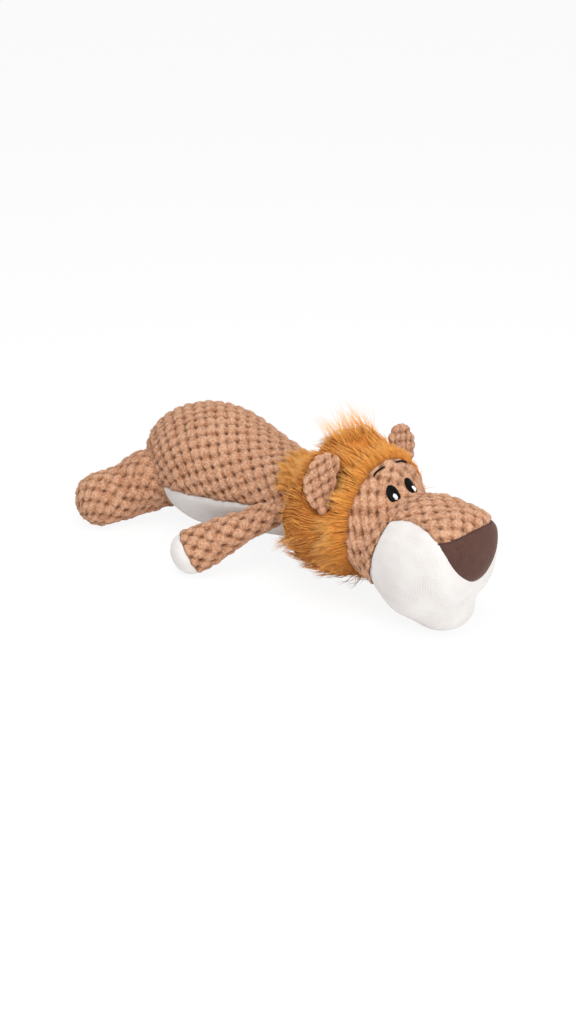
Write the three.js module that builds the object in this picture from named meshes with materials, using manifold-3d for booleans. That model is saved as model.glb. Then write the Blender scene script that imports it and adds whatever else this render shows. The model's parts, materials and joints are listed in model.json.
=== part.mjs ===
// A plush dog toy in the shape of a lion, lying on its belly, legs spread and chin on the floor.
// Millimetres. +X runs towards the head, +Y to the toy's left and +Z up, with the floor at z = 0.
// Each fabric panel is a closed shell over its own stuffing. Head, legs and ears flex at their seams.
import * as THREE from "three";
import { mergeVertices } from "three/addons/utils/BufferGeometryUtils.js";
import Module from "manifold-3d";

const wasm = await Module();
wasm.setup();

// Fabric, and the room between pieces
const fabric = 3;
const seam_gap = 0.3;
const flex_gap = 0.6;
const pressed_flat = 0.5;

// Body, measured back from the neck
const neck_height = 53;
const neck_radius = 33;
const waist_back = 48;
const waist_height = 50.5;
const waist_half_width = 43;
const waist_half_depth = 41;
const rump_back = 100;
const rump_half_width = 51;
const rump_half_depth = 51;
const rump_end = 80;
const rump_taper = 1.4;
const body_skin_front = 4;
const belly_end_back = 119;
const belly_seam_rear = 38.5;
const belly_seam_front = 54;

// Squeaker in the middle of the body's stuffing
const squeaker_back = 84;
const squeaker_height = 50;
const squeaker_radius = 21;
const squeaker_half_height = 13;
const squeaker_wall = 1.4;
const reed_radius = 5;
const reed_bore = 2;
const reed_length = 14;
const reed_flange = 2.5;
const reed_flange_radius = 8;

// Neck plug between the body's stuffing and the head's
const plug_thickness = 7;
const plug_half_angle = 48;

// Head, measured forward from the neck
const nape_forward = 16;
const head_forward = 64;
const head_height = 64;
const head_half_width = 50;
const head_half_depth = 56;
const head_front = 44.5;
const head_back = 60;

// Face and muzzle, measured forward from the middle of the head
const face_rim_forward = 22;
const cheek_forward = 36;
const cheek_height = 47;
const cheek_half_width = 40;
const cheek_half_depth = 41;
const jowl_forward = 58;
const jowl_height = 50.5;
const jowl_half_width = 42;
const jowl_half_depth = 45;
const snout_forward = 78;
const snout_height = 51;
const snout_half_width = 41;
const snout_half_depth = 45;
const snout_tip_forward = 96;
const snout_tip_height = 60;
const snout_tip_half_width = 35;
const snout_tip_half_depth = 36;
const snout_round = 14;
const muzzle_squareness = 2.5;
const jowl_seam_forward = 34.4;
const jowl_seam_lean = 0.2;
const bridge_seam_height = 87;
const bridge_seam_fall = 0.07;

// Chin
const chin_forward = 79;
const chin_half_length = 24;
const chin_half_width = 26;
const chin_half_depth = 16.5;
const mouth_forward = 95;
const mouth_height = 28;
const chin_seam_rear = 48;

// Nose, seen from the front
const nose_half_width = 27;
const nose_corner_height = 81;
const nose_arch = 8;
const nose_flank_half_width = 22;
const nose_flank_height = 63;
const nose_point_height = 49;
const nose_point_half_width = 6;
const nose_point_drop = 2;
const nose_proud = 1;

// Stitched eyes and brows, seen from the front
const stitch_height = 1;
const eye_side = 9.4;
const eye_height = 93;
const eye_half_width = 5.8;
const eye_half_height = 7.2;
const glint_drop = 2.2;
const glint_half_width = 1.7;
const glint_half_height = 2.2;
const brow_side = 13.5;
const brow_height = 104;
const brow_half_length = 6.5;
const brow_rise = 2.6;
const brow_width = 2;

// Mane, measured from the middle of the head
const mane_rim_fur = 4;
const mane_crown_forward = 4;
const mane_crown_height = 66;
const mane_crown_half_width = 56;
const mane_crown_half_depth = 61;
const mane_back = 16;
const mane_back_height = 68;
const mane_back_half_width = 60;
const mane_back_half_depth = 64;
const mane_nape = 38;
const mane_nape_height = 60;
const mane_nape_half_width = 53;
const mane_nape_half_depth = 55;
const mane_end = 52;
const mane_end_height = 54;
const mane_end_half_width = 44;
const mane_end_half_depth = 44;
const mane_locks = 8;
const lock_depth = 2.5;

// Ears: seam on the side of the head, then the leaf that stands out from it
const ear_forward = 63;
const ear_seam_side = 35.5;
const ear_seam_height = 97;
const ear_seam_lean = 33;
const ear_swept_back = 22;
const ear_half_thickness = 3.6;
const ear_cup = 0.006;
const ear_point_below = 16.5;
const ear_point_out = 2.6;
const ear_point_half_reach = 8;
const ear_point_round = 6.3;
const ear_middle_out = 11;
const ear_middle_half_reach = 14;
const ear_top_above = 10.5;
const ear_top_out = 11.5;
const ear_top_half_reach = 12.5;
const ear_top_round = 10.5;
const ear_swing = 25;
const ear_room = 1.3;

// Front legs: where the seam meets the body's side, and where the paw lies
const front_root_back = 10;
const front_root_side = 31;
const front_root_height = 46;
const front_paw_back = 46;
const front_paw_side = 79;
const front_root_half_width = 15;
const front_root_half_depth = 9;
const front_mid_half_width = 15;
const front_mid_half_depth = 14.5;
const front_paw_half_width = 19;
const front_paw_half_depth = 18.5;
const front_paw_round = 15;
const front_paw_pressed = 1.9;
const front_sole_depth = 15;
const front_swing_up = 45;
const front_swing_down = 5;

// Hind legs
const hind_root_back = 148;
const hind_root_side = 42;
const hind_root_height = 28;
const hind_tip_back = 165;
const hind_tip_side = 78;
const hind_root_half_width = 23;
const hind_root_half_depth = 23;
const hind_tip_half_width = 22;
const hind_tip_half_depth = 22.5;
const hind_tip_round = 18;
const hind_tip_pressed = 1.6;
const hind_swing_up = 15;
const hind_swing_down = 5;

// Facets
const body_sides = 18;
const limb_sides = 12;
const ear_sides = 10;
const ball_sides = 24;
const curve_segments = 8;
const cap_rings = 3;
const body_rings = 7;
const rump_rings = 5;
const muzzle_rings = 6;
const mane_rings = 7;
const ear_rings = 4;
const front_leg_rings = 4;
const hind_leg_rings = 3;
const swing_steps = 8;

const tan_chenille = new THREE.MeshStandardMaterial({ color: 0xc8966f, roughness: 0.95 });
const white_rib_knit = new THREE.MeshStandardMaterial({ color: 0xebe8e4, roughness: 0.9 });
const brown_velour = new THREE.MeshStandardMaterial({ color: 0x674b43, roughness: 0.85 });
const golden_fur = new THREE.MeshStandardMaterial({ color: 0xbe8243, roughness: 0.8 });
const fur_backing = new THREE.MeshStandardMaterial({ color: 0x93602f, roughness: 0.95 });
const black_thread = new THREE.MeshStandardMaterial({ color: 0x141212, roughness: 0.6 });
const white_thread = new THREE.MeshStandardMaterial({ color: 0xf4f2ee, roughness: 0.6 });
const polyester_fibre = new THREE.MeshStandardMaterial({ color: 0xf2f0ea, roughness: 1 });
const soft_plastic = new THREE.MeshStandardMaterial({ color: 0xdfe3e6, roughness: 0.4 });
const reed_plastic = new THREE.MeshStandardMaterial({ color: 0xc9c4b4, roughness: 0.4 });

const axis_x = new THREE.Vector3(1, 0, 0);
const axis_y = new THREE.Vector3(0, 1, 0);
const axis_z = new THREE.Vector3(0, 0, 1);

// A closed geometry as a solid that can be joined and cut.
function solidFrom(geometry) {
  geometry.deleteAttribute("normal");
  geometry.deleteAttribute("uv");
  const merged = mergeVertices(geometry);
  const mesh = new wasm.Mesh({
    numProp: 3,
    vertProperties: new Float32Array(merged.getAttribute("position").array),
    triVerts: new Uint32Array(merged.index.array),
  });
  return new wasm.Manifold(mesh);
}

function geometryFrom(solid) {
  const mesh = solid.getMesh();
  const geometry = new THREE.BufferGeometry();
  geometry.setAttribute("position", new THREE.BufferAttribute(new Float32Array(mesh.vertProperties), 3));
  geometry.setIndex(new THREE.BufferAttribute(new Uint32Array(mesh.triVerts), 1));
  geometry.computeVertexNormals();
  return geometry;
}

// Oval rings along +X through the stations [x, z, half_width, half_depth], with a rounded cap on each end.
// swell grows the whole form, or shrinks it when negative. square is 2 for ovals, more for boxier rings.
function stuffedForm(form, swell = 0) {
  const { stations, start_cap, end_cap, sides, rings, square = 2 } = form;
  const { start_taper = 1, start_rings = cap_rings } = form;
  const first = stations[0];
  const last = stations[stations.length - 1];
  const sections = [];
  for (let k = start_rings - 1; k > 0; k--) {
    const angle = (k / start_rings) * (Math.PI / 2);
    const x = first[0] - (start_cap + swell) * Math.sin(angle);
    const shrink = Math.cos(angle) ** start_taper;
    sections.push({ x, z: first[1], shrink, wide: first[2], deep: first[3] });
  }
  const along = new THREE.CubicInterpolant(
    stations.map((station) => station[0]),
    stations.flatMap((station) => station.slice(1)),
    3,
  );
  along.settings = { endingStart: THREE.ZeroSlopeEnding, endingEnd: THREE.ZeroSlopeEnding };
  for (let k = 0; k <= rings; k++) {
    const x = first[0] + ((last[0] - first[0]) * k) / rings;
    const [z, wide, deep] = along.evaluate(x);
    sections.push({ x, z, shrink: 1, wide, deep });
  }
  for (let k = 1; k < cap_rings; k++) {
    const angle = (k / cap_rings) * (Math.PI / 2);
    const x = last[0] + (end_cap + swell) * Math.sin(angle);
    const shrink = Math.cos(angle);
    sections.push({ x, z: last[1], shrink, wide: last[2], deep: last[3] });
  }

  const points = [first[0] - start_cap - swell, 0, first[1]];
  for (const { x, z, shrink, wide, deep } of sections) {
    for (let k = 0; k < sides; k++) {
      const angle = ((k + 0.5) / sides) * 2 * Math.PI;
      const across = Math.cos(angle);
      const up = Math.sin(angle);
      const reach = (Math.abs(across) ** square + Math.abs(up) ** square) ** (-1 / square);
      points.push(x, (wide + swell) * shrink * across * reach, z + (deep + swell) * shrink * up * reach);
    }
  }
  points.push(last[0] + end_cap + swell, 0, last[1]);

  const faces = [];
  const at = (ring, side) => 1 + ring * sides + (side % sides);
  const end = points.length / 3 - 1;
  for (let k = 0; k < sides; k++) {
    faces.push(0, at(0, k + 1), at(0, k));
    for (let ring = 0; ring < sections.length - 1; ring++) {
      faces.push(at(ring, k), at(ring, k + 1), at(ring + 1, k + 1));
      faces.push(at(ring, k), at(ring + 1, k + 1), at(ring + 1, k));
    }
    faces.push(end, at(sections.length - 1, k), at(sections.length - 1, k + 1));
  }
  const geometry = new THREE.BufferGeometry();
  geometry.setAttribute("position", new THREE.Float32BufferAttribute(points, 3));
  geometry.setIndex(faces);
  return geometry;
}

// A shape drawn as seen from the front, as (y, z), run along +X from one depth to another.
function frontPrism(shape, from, to) {
  const settings = { depth: to - from, bevelEnabled: false, curveSegments: curve_segments };
  const geometry = new THREE.ExtrudeGeometry(shape, settings);
  geometry.applyMatrix4(new THREE.Matrix4().makeBasis(axis_y, axis_z, axis_x));
  geometry.translate(from, 0, 0);
  return solidFrom(geometry);
}

function ball(radius, centre) {
  const geometry = new THREE.SphereGeometry(radius, ball_sides, ball_sides / 2);
  geometry.rotateZ(-Math.PI / 2);
  geometry.translate(...centre);
  return solidFrom(geometry);
}

function turned(solid, pivot, axis, degrees) {
  const turn = new THREE.Matrix4().makeRotationAxis(axis, THREE.MathUtils.degToRad(degrees));
  const matrix = new THREE.Matrix4()
    .makeTranslation(pivot)
    .multiply(turn)
    .multiply(new THREE.Matrix4().makeTranslation(pivot.clone().negate()));
  return solid.transform(matrix.elements);
}

// All the room that a piece needs, or leaves, while it swings about an axis.
function swept(solid, pivot, axis, from, to) {
  let room = turned(solid, pivot, axis, from);
  for (let k = 1; k <= swing_steps; k++) {
    room = room.add(turned(solid, pivot, axis, from + ((to - from) * k) / swing_steps));
  }
  return room;
}

const onFloor = (solid) => solid.trimByPlane([0, 0, 1], 0);

// Hangs a piece that was built in the toy's frame on the group that it moves with.
function addPiece(group, name, solid, material) {
  const geometry = geometryFrom(solid);
  group.updateWorldMatrix(true, false);
  geometry.applyMatrix4(group.matrixWorld.clone().invert());
  const mesh = new THREE.Mesh(geometry, material);
  mesh.name = name;
  group.add(mesh);
}

function addGroup(parent, pivot) {
  const group = new THREE.Group();
  parent.updateWorldMatrix(true, false);
  group.position.copy(parent.worldToLocal(pivot.clone()));
  parent.add(group);
  return group;
}

const sides = [
  ["left", 1],
  ["right", -1],
];
const plush = new THREE.Group();
const neck = new THREE.Vector3(0, 0, neck_height);

// Body: one long swelling form, split by the belly seam, with a squeaker in its stuffing
const body = {
  stations: [
    [-rump_back, rump_half_depth - pressed_flat, rump_half_width, rump_half_depth],
    [-waist_back, waist_height, waist_half_width, waist_half_depth],
    [0, neck_height, neck_radius, neck_radius],
  ],
  start_cap: rump_end,
  start_taper: rump_taper,
  start_rings: rump_rings,
  end_cap: neck_radius,
  sides: body_sides,
  rings: body_rings,
};
const bodyForm = (swell) => solidFrom(stuffedForm(body, swell));

function bellyRegion(margin) {
  const rise = (belly_seam_front - belly_seam_rear) / belly_end_back;
  const rear = -belly_end_back - margin;
  const front = neck_radius;
  const shape = new THREE.Shape([
    new THREE.Vector2(rear, -rump_half_depth),
    new THREE.Vector2(front, -rump_half_depth),
    new THREE.Vector2(front, belly_seam_front + rise * front + margin),
    new THREE.Vector2(rear, belly_seam_front + rise * rear + margin),
  ]);
  const width = 4 * rump_half_width;
  const geometry = new THREE.ExtrudeGeometry(shape, { depth: width, bevelEnabled: false });
  geometry.applyMatrix4(new THREE.Matrix4().makeBasis(axis_x, axis_z, axis_y.clone().negate()));
  geometry.translate(0, width / 2, 0);
  return solidFrom(geometry);
}

function squeaker() {
  const lathe = (points) => {
    const geometry = new THREE.LatheGeometry(points, limb_sides);
    geometry.rotateX(Math.PI / 2);
    geometry.translate(-squeaker_back, 0, squeaker_height);
    return solidFrom(geometry);
  };
  const mouth = reed_radius + seam_gap;
  const arc = (shrink, from, to) => {
    const points = [];
    for (let k = 0; k <= 2 * cap_rings; k++) {
      const angle = from + ((to - from) * k) / (2 * cap_rings);
      points.push(
        new THREE.Vector2(
          Math.max(0, (squeaker_radius - shrink) * Math.cos(angle)),
          (squeaker_half_height - shrink) * Math.sin(angle),
        ),
      );
    }
    return points;
  };
  const top = Math.acos(mouth / squeaker_radius);
  const inner_top = Math.acos(mouth / (squeaker_radius - squeaker_wall));
  const bulb = lathe([...arc(0, -Math.PI / 2, top), ...arc(squeaker_wall, inner_top, -Math.PI / 2)]);
  const seat = squeaker_half_height + seam_gap;
  const reed = lathe([
    new THREE.Vector2(reed_bore, seat - reed_length),
    new THREE.Vector2(reed_radius, seat - reed_length),
    new THREE.Vector2(reed_radius, seat),
    new THREE.Vector2(reed_flange_radius, seat),
    new THREE.Vector2(reed_flange_radius, seat + reed_flange),
    new THREE.Vector2(reed_bore, seat + reed_flange),
    new THREE.Vector2(reed_bore, seat - reed_length),
  ]);
  return { bulb, reed };
}

// The pocket that holds the squeaker, with the slit that it went in by
function squeakerPocket() {
  const half_height = squeaker_half_height + reed_flange + 2 * seam_gap;
  const pocket = new THREE.CylinderGeometry(
    squeaker_radius + seam_gap,
    squeaker_radius + seam_gap,
    2 * half_height,
    limb_sides,
  );
  pocket.rotateX(Math.PI / 2);
  pocket.translate(-squeaker_back, 0, squeaker_height);
  const slit = new THREE.BoxGeometry(squeaker_radius, squeaker_radius / 2, squeaker_height);
  slit.translate(-squeaker_back, 0, squeaker_height / 2);
  return solidFrom(pocket).add(solidFrom(slit));
}

const bodySkin = onFloor(bodyForm(0).subtract(bodyForm(-fabric)));
const bodyShell = bodySkin.trimByPlane([-1, 0, 0], -body_skin_front);
addPiece(plush, "back_panel", bodyShell.subtract(bellyRegion(seam_gap)), tan_chenille);
addPiece(plush, "belly_panel", bodyShell.intersect(bellyRegion(0)), white_rib_knit);
addPiece(plush, "body_stuffing", bodyForm(-fabric - seam_gap).subtract(squeakerPocket()), polyester_fibre);
const { bulb, reed } = squeaker();
addPiece(plush, "squeaker_bulb", bulb, soft_plastic);
addPiece(plush, "squeaker_reed", reed, reed_plastic);

// Neck: a plug of stuffing that turns on the body's rounded front
const plug_inner = neck_radius - fabric - seam_gap + flex_gap;
const plug_outer = plug_inner + plug_thickness;
const neckGroup = addGroup(plush, neck);
const plug_front = plug_outer * Math.cos(THREE.MathUtils.degToRad(plug_half_angle));
addPiece(
  neckGroup,
  "neck_stuffing",
  ball(plug_outer, neck).subtract(ball(plug_inner, neck)).trimByPlane([1, 0, 0], plug_front),
  polyester_fibre,
);

// Head: dome, muzzle and chin swell into one form, which the seams divide into panels
const dome = {
  stations: [
    [head_forward - seam_gap, head_height, head_half_width, head_half_depth],
    [head_forward + seam_gap, head_height, head_half_width, head_half_depth],
  ],
  start_cap: head_back,
  end_cap: head_front,
  sides: body_sides,
  rings: 1,
};
const muzzle = {
  stations: [
    [cheek_forward, cheek_height, cheek_half_width, cheek_half_depth],
    [jowl_forward, jowl_height, jowl_half_width, jowl_half_depth],
    [snout_forward, snout_height, snout_half_width, snout_half_depth],
    [snout_tip_forward, snout_tip_height, snout_tip_half_width, snout_tip_half_depth],
  ].map(([forward, ...oval]) => [head_forward + forward, ...oval]),
  start_cap: cheek_forward,
  end_cap: snout_round,
  sides: body_sides,
  rings: muzzle_rings,
  square: muzzle_squareness,
};
const chin_x = head_forward + chin_forward;
const chin = {
  stations: [
    [chin_x - seam_gap, chin_half_depth - pressed_flat, chin_half_width, chin_half_depth],
    [chin_x + seam_gap, chin_half_depth - pressed_flat, chin_half_width, chin_half_depth],
  ],
  start_cap: chin_half_length,
  end_cap: chin_half_length,
  sides: body_sides,
  rings: 1,
};
const domeForm = (swell) => solidFrom(stuffedForm(dome, swell));
const muzzleForm = (swell) => solidFrom(stuffedForm(muzzle, swell));
const chinForm = (swell) => solidFrom(stuffedForm(chin, swell));
const headForm = (swell) => domeForm(swell).add(muzzleForm(swell)).add(chinForm(swell));

const headGroup = addGroup(neckGroup, neck);
const neckSocket = ball(plug_outer + flex_gap, neck);
const behindNape = (solid) => solid.trimByPlane([1, 0, 0], nape_forward);
const headShell = onFloor(behindNape(headForm(0).subtract(headForm(-fabric)).subtract(neckSocket)));

// Seam planes, each as a normal and an offset; a panel stops half a gap short of its seam
const half_gap = seam_gap / 2;
function seamPlane(x, z, slope_x, slope_z) {
  const normal = new THREE.Vector3(slope_x, 0, slope_z).normalize();
  return { normal, offset: normal.x * x + normal.z * z };
}
const ahead = (solid, { normal, offset }) => solid.trimByPlane(normal.toArray(), offset + half_gap);
const behind = (solid, { normal, offset }) =>
  solid.trimByPlane(normal.clone().negate().toArray(), half_gap - offset);

const rim = seamPlane(head_forward + face_rim_forward, 0, 1, 0);
const jowl_seam = seamPlane(head_forward + jowl_seam_forward, 0, 1, -jowl_seam_lean);
const bridge_seam = seamPlane(head_forward + jowl_forward, bridge_seam_height, bridge_seam_fall, 1);
const chin_seam = seamPlane(
  head_forward + mouth_forward,
  mouth_height,
  mouth_height,
  chin_seam_rear - mouth_forward,
);

function noseShape(margin) {
  const side = nose_half_width + margin;
  const corner = nose_corner_height + margin;
  const flank = nose_flank_half_width + margin;
  const point = nose_point_height - margin;
  const shape = new THREE.Shape();
  shape.moveTo(-side, corner);
  shape.quadraticCurveTo(-flank, nose_flank_height, -nose_point_half_width, point);
  shape.quadraticCurveTo(0, point - nose_point_drop, nose_point_half_width, point);
  shape.quadraticCurveTo(flank, nose_flank_height, side, corner);
  shape.quadraticCurveTo(0, corner + nose_arch, -side, corner);
  return shape;
}
const nose_start = head_forward + snout_forward;
const nose_end = head_forward + snout_tip_forward + 2 * snout_round;
const noseCut = frontPrism(noseShape(seam_gap), nose_start, nose_end);
const noseShell = muzzleForm(nose_proud).subtract(muzzleForm(-fabric));
const nose = noseShell.intersect(frontPrism(noseShape(0), nose_start, nose_end));

const face = behind(ahead(headShell, rim), jowl_seam);
const snout = ahead(headShell, jowl_seam).subtract(noseCut);
const lower = behind(snout, bridge_seam);
addPiece(headGroup, "face_panel", face, tan_chenille);
addPiece(headGroup, "snout_bridge", ahead(snout, bridge_seam), tan_chenille);
addPiece(headGroup, "muzzle_panel", behind(lower, chin_seam), white_rib_knit);
addPiece(headGroup, "chin_panel", ahead(lower, chin_seam), white_rib_knit);
addPiece(headGroup, "nose_panel", nose, brown_velour);
addPiece(headGroup, "mane_backing", behind(headShell, rim), fur_backing);
const headCore = onFloor(behindNape(headForm(-fabric - seam_gap).subtract(neckSocket)));
addPiece(headGroup, "head_stuffing", headCore, polyester_fibre);

// Stitching lies on the face as thin pads, ahead of the mane
function stitchedPad(shape, low, high) {
  const layer = headForm(high).subtract(headForm(low));
  const pad = layer.intersect(frontPrism(shape, head_forward, head_forward + head_front));
  return ahead(pad, rim);
}
function ovalShape(y, z, half_width, half_height) {
  return new THREE.Shape().absellipse(y, z, half_width, half_height, 0, 2 * Math.PI);
}
function browShape(side) {
  const inner = side * (brow_side - brow_half_length);
  const outer = side * (brow_side + brow_half_length);
  const middle = side * brow_side;
  const shape = new THREE.Shape();
  shape.moveTo(inner, brow_height);
  const peak = brow_height + 2 * brow_rise;
  shape.quadraticCurveTo(middle, peak, outer, brow_height);
  shape.lineTo(outer, brow_height + brow_width);
  shape.quadraticCurveTo(middle, peak + brow_width, inner, brow_height + brow_width);
  return shape;
}
const eye_low = seam_gap;
const eye_top = eye_low + stitch_height;
const glint_low = eye_top + seam_gap;
const glint_top = glint_low + stitch_height;
const glint_height = eye_height - glint_drop;
for (const [name, side] of sides) {
  const eye = ovalShape(side * eye_side, eye_height, eye_half_width, eye_half_height);
  const glint = ovalShape(side * eye_side, glint_height, glint_half_width, glint_half_height);
  addPiece(headGroup, `eye_${name}`, stitchedPad(eye, eye_low, eye_top), black_thread);
  addPiece(headGroup, `eye_glint_${name}`, stitchedPad(glint, glint_low, glint_top), white_thread);
  addPiece(headGroup, `brow_${name}`, stitchedPad(browShape(side), eye_low, eye_top), black_thread);
}

// Ears: a cupped leaf of two layers on each side, sewn to the head along its inner edge
function earPlace(side) {
  const lean = THREE.MathUtils.degToRad(ear_seam_lean);
  const swept_back = THREE.MathUtils.degToRad(ear_swept_back);
  const along = new THREE.Vector3(0, -side * Math.sin(lean), Math.cos(lean));
  const out = new THREE.Vector3(0, side * Math.cos(lean), Math.sin(lean));
  out.multiplyScalar(Math.cos(swept_back)).addScaledVector(axis_x, -Math.sin(swept_back));
  const fore = new THREE.Vector3().crossVectors(out, along);
  const pivot = new THREE.Vector3(ear_forward, side * ear_seam_side, ear_seam_height);
  const place = new THREE.Matrix4().makeBasis(along, fore, out).setPosition(pivot);
  return { pivot, along, place, facing: Math.sign(fore.x) };
}
// The leaf lies along its seam and reaches out in +Z. layer keeps one half of it, or both when it is 0.
function earLeaf({ facing, place }, layer, swell = 0) {
  const leaf = stuffedForm(
    {
      stations: [
        [-ear_point_below, ear_point_out, ear_half_thickness, ear_point_half_reach],
        [0, ear_middle_out, ear_half_thickness, ear_middle_half_reach],
        [ear_top_above, ear_top_out, ear_half_thickness, ear_top_half_reach],
      ],
      start_cap: ear_point_round,
      end_cap: ear_top_round,
      sides: ear_sides,
      rings: ear_rings,
    },
    swell,
  );
  const points = leaf.getAttribute("position");
  for (let k = 0; k < points.count; k++) {
    let thick = facing * points.getY(k);
    if (layer) {
      thick = layer * Math.max(layer * thick, half_gap);
    }
    points.setY(k, facing * (thick + ear_cup * points.getZ(k) ** 2));
  }
  return solidFrom(leaf).transform(place.elements);
}

const mane = {
  stations: [
    [-mane_end, mane_end_height, mane_end_half_width, mane_end_half_depth],
    [-mane_nape, mane_nape_height, mane_nape_half_width, mane_nape_half_depth],
    [-mane_back, mane_back_height, mane_back_half_width, mane_back_half_depth],
    [mane_crown_forward, mane_crown_height, mane_crown_half_width, mane_crown_half_depth],
    [face_rim_forward, head_height, rimRadius(head_half_width), rimRadius(head_half_depth)],
  ].map(([forward, ...oval]) => [head_forward + forward, ...oval]),
  start_cap: mane_rim_fur,
  end_cap: mane_rim_fur,
  sides: 4 * mane_locks,
  rings: mane_rings,
};
// Fur stands this far out where the mane meets the face
function rimRadius(half_size) {
  return half_size * Math.sqrt(1 - (face_rim_forward / head_front) ** 2) + mane_rim_fur;
}
function maneForm() {
  const geometry = stuffedForm(mane);
  const points = geometry.getAttribute("position");
  const length = face_rim_forward + mane_end;
  for (let k = 0; k < points.count; k++) {
    const y = points.getY(k);
    const z = points.getZ(k) - head_height;
    const back = (head_forward + face_rim_forward - points.getX(k)) / length;
    const around = Math.atan2(z, y) * mane_locks;
    const stand = lock_depth * THREE.MathUtils.clamp(back, 0, 1) * Math.sin(around + back);
    const grow = 1 + stand / Math.hypot(y, z, lock_depth);
    points.setY(k, y * grow);
    points.setZ(k, head_height + z * grow);
  }
  return solidFrom(geometry);
}
let fur = behindNape(onFloor(maneForm().subtract(headForm(seam_gap)).subtract(neckSocket)));
fur = behind(fur, rim);

for (const [name, side] of sides) {
  const place = earPlace(side);
  const { pivot, along } = place;
  const clear = swept(domeForm(flex_gap), pivot, along, -ear_swing, ear_swing);
  const group = addGroup(headGroup, pivot);
  for (const [layer, way] of [["front", 1], ["back", -1]]) {
    addPiece(group, `ear_${name}_${layer}`, earLeaf(place, way).subtract(clear), tan_chenille);
  }
  const room = earLeaf(place, 0, ear_room);
  fur = fur.subtract(swept(room, pivot, along, -ear_swing, ear_swing));
}
addPiece(headGroup, "mane_fur", fur, golden_fur);

// Legs: a form along its own axis, cut to the side of the body, with stuffing inside
function leg(side, { root, tip, form, swing, axis }) {
  const start = new THREE.Vector3(root.x, side * root.y, root.z);
  const end = new THREE.Vector3(tip.x, side * tip.y, tip.z);
  const along = end.clone().sub(start).normalize();
  const across = new THREE.Vector3().crossVectors(axis_z, along).normalize();
  const up = new THREE.Vector3().crossVectors(along, across);
  const place = new THREE.Matrix4().makeBasis(along, across, up).setPosition(start);
  const clear = swept(bodyForm(flex_gap), start, axis(side, across), -swing.up, swing.down);
  const shape = (swell) => solidFrom(stuffedForm(form, swell)).transform(place.elements);
  const skin = onFloor(shape(0).subtract(shape(-fabric)).subtract(clear));
  const core = onFloor(shape(-fabric - seam_gap).subtract(clear));
  return { start, along, skin, core };
}

const front_length = Math.hypot(
  front_paw_back - front_root_back,
  front_paw_side - front_root_side,
  front_root_height - front_paw_half_depth + front_paw_pressed,
);
const frontLeg = {
  root: new THREE.Vector3(-front_root_back, front_root_side, front_root_height),
  tip: new THREE.Vector3(-front_paw_back, front_paw_side, front_paw_half_depth - front_paw_pressed),
  form: {
    stations: [
      [0, 0, front_root_half_width, front_root_half_depth],
      [front_length / 2, 0, front_mid_half_width, front_mid_half_depth],
      [front_length, 0, front_paw_half_width, front_paw_half_depth],
    ],
    start_cap: front_root_half_depth,
    end_cap: front_paw_round,
    sides: limb_sides,
    rings: front_leg_rings,
  },
  swing: { up: front_swing_up, down: front_swing_down },
  axis: (side) => axis_x.clone().multiplyScalar(side),
};
const hind_length = Math.hypot(
  hind_tip_back - hind_root_back,
  hind_tip_side - hind_root_side,
  hind_root_height - hind_tip_half_depth + hind_tip_pressed,
);
const hindLeg = {
  root: new THREE.Vector3(-hind_root_back, hind_root_side, hind_root_height),
  tip: new THREE.Vector3(-hind_tip_back, hind_tip_side, hind_tip_half_depth - hind_tip_pressed),
  form: {
    stations: [
      [0, 0, hind_root_half_width, hind_root_half_depth],
      [hind_length, 0, hind_tip_half_width, hind_tip_half_depth],
    ],
    start_cap: hind_root_half_depth,
    end_cap: hind_tip_round,
    sides: limb_sides,
    rings: hind_leg_rings,
  },
  swing: { up: hind_swing_up, down: hind_swing_down },
  axis: (side, across) => across.clone().negate(),
};

for (const [name, side] of sides) {
  const front = leg(side, frontLeg);
  const frontGroup = addGroup(plush, front.start);
  const sole_offset = front.along.dot(front.start) + front_length + front_paw_round - front_sole_depth;
  const sole = { normal: front.along, offset: sole_offset };
  addPiece(frontGroup, `front_leg_${name}`, behind(front.skin, sole), tan_chenille);
  addPiece(frontGroup, `front_paw_${name}`, ahead(front.skin, sole), white_rib_knit);
  addPiece(frontGroup, `front_leg_${name}_stuffing`, front.core, polyester_fibre);

  const hind = leg(side, hindLeg);
  const hindGroup = addGroup(plush, hind.start);
  addPiece(hindGroup, `hind_leg_${name}`, hind.skin, tan_chenille);
  addPiece(hindGroup, `hind_leg_${name}_stuffing`, hind.core, polyester_fibre);
}

// The origin is on the floor, below the middle of the toy's length
const toy = new THREE.Group();
toy.add(plush);
const box = new THREE.Box3().setFromObject(plush, true);
plush.position.x = -(box.min.x + box.max.x) / 2;

export default toy;
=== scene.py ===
# %% [markdown]
# # A plush lion for dogs
# The toy is stuffed cloth: tan chenille knit, white rib knit, brown velour and golden faux fur. The packed
# model gives every panel its place. This lesson dresses each panel in its own cloth, at its own seam, so the
# toy looks sewn and stuffed and still moves on its joints.
#
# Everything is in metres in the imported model's frame. Sizes below are written in millimetres and turned to
# metres once, because cloth is easier to think about in millimetres.

import itertools
import json
import math
from types import SimpleNamespace

import bpy
import numpy as np
from mathutils import Matrix, Vector
from mathutils.bvhtree import BVHTree

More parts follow.
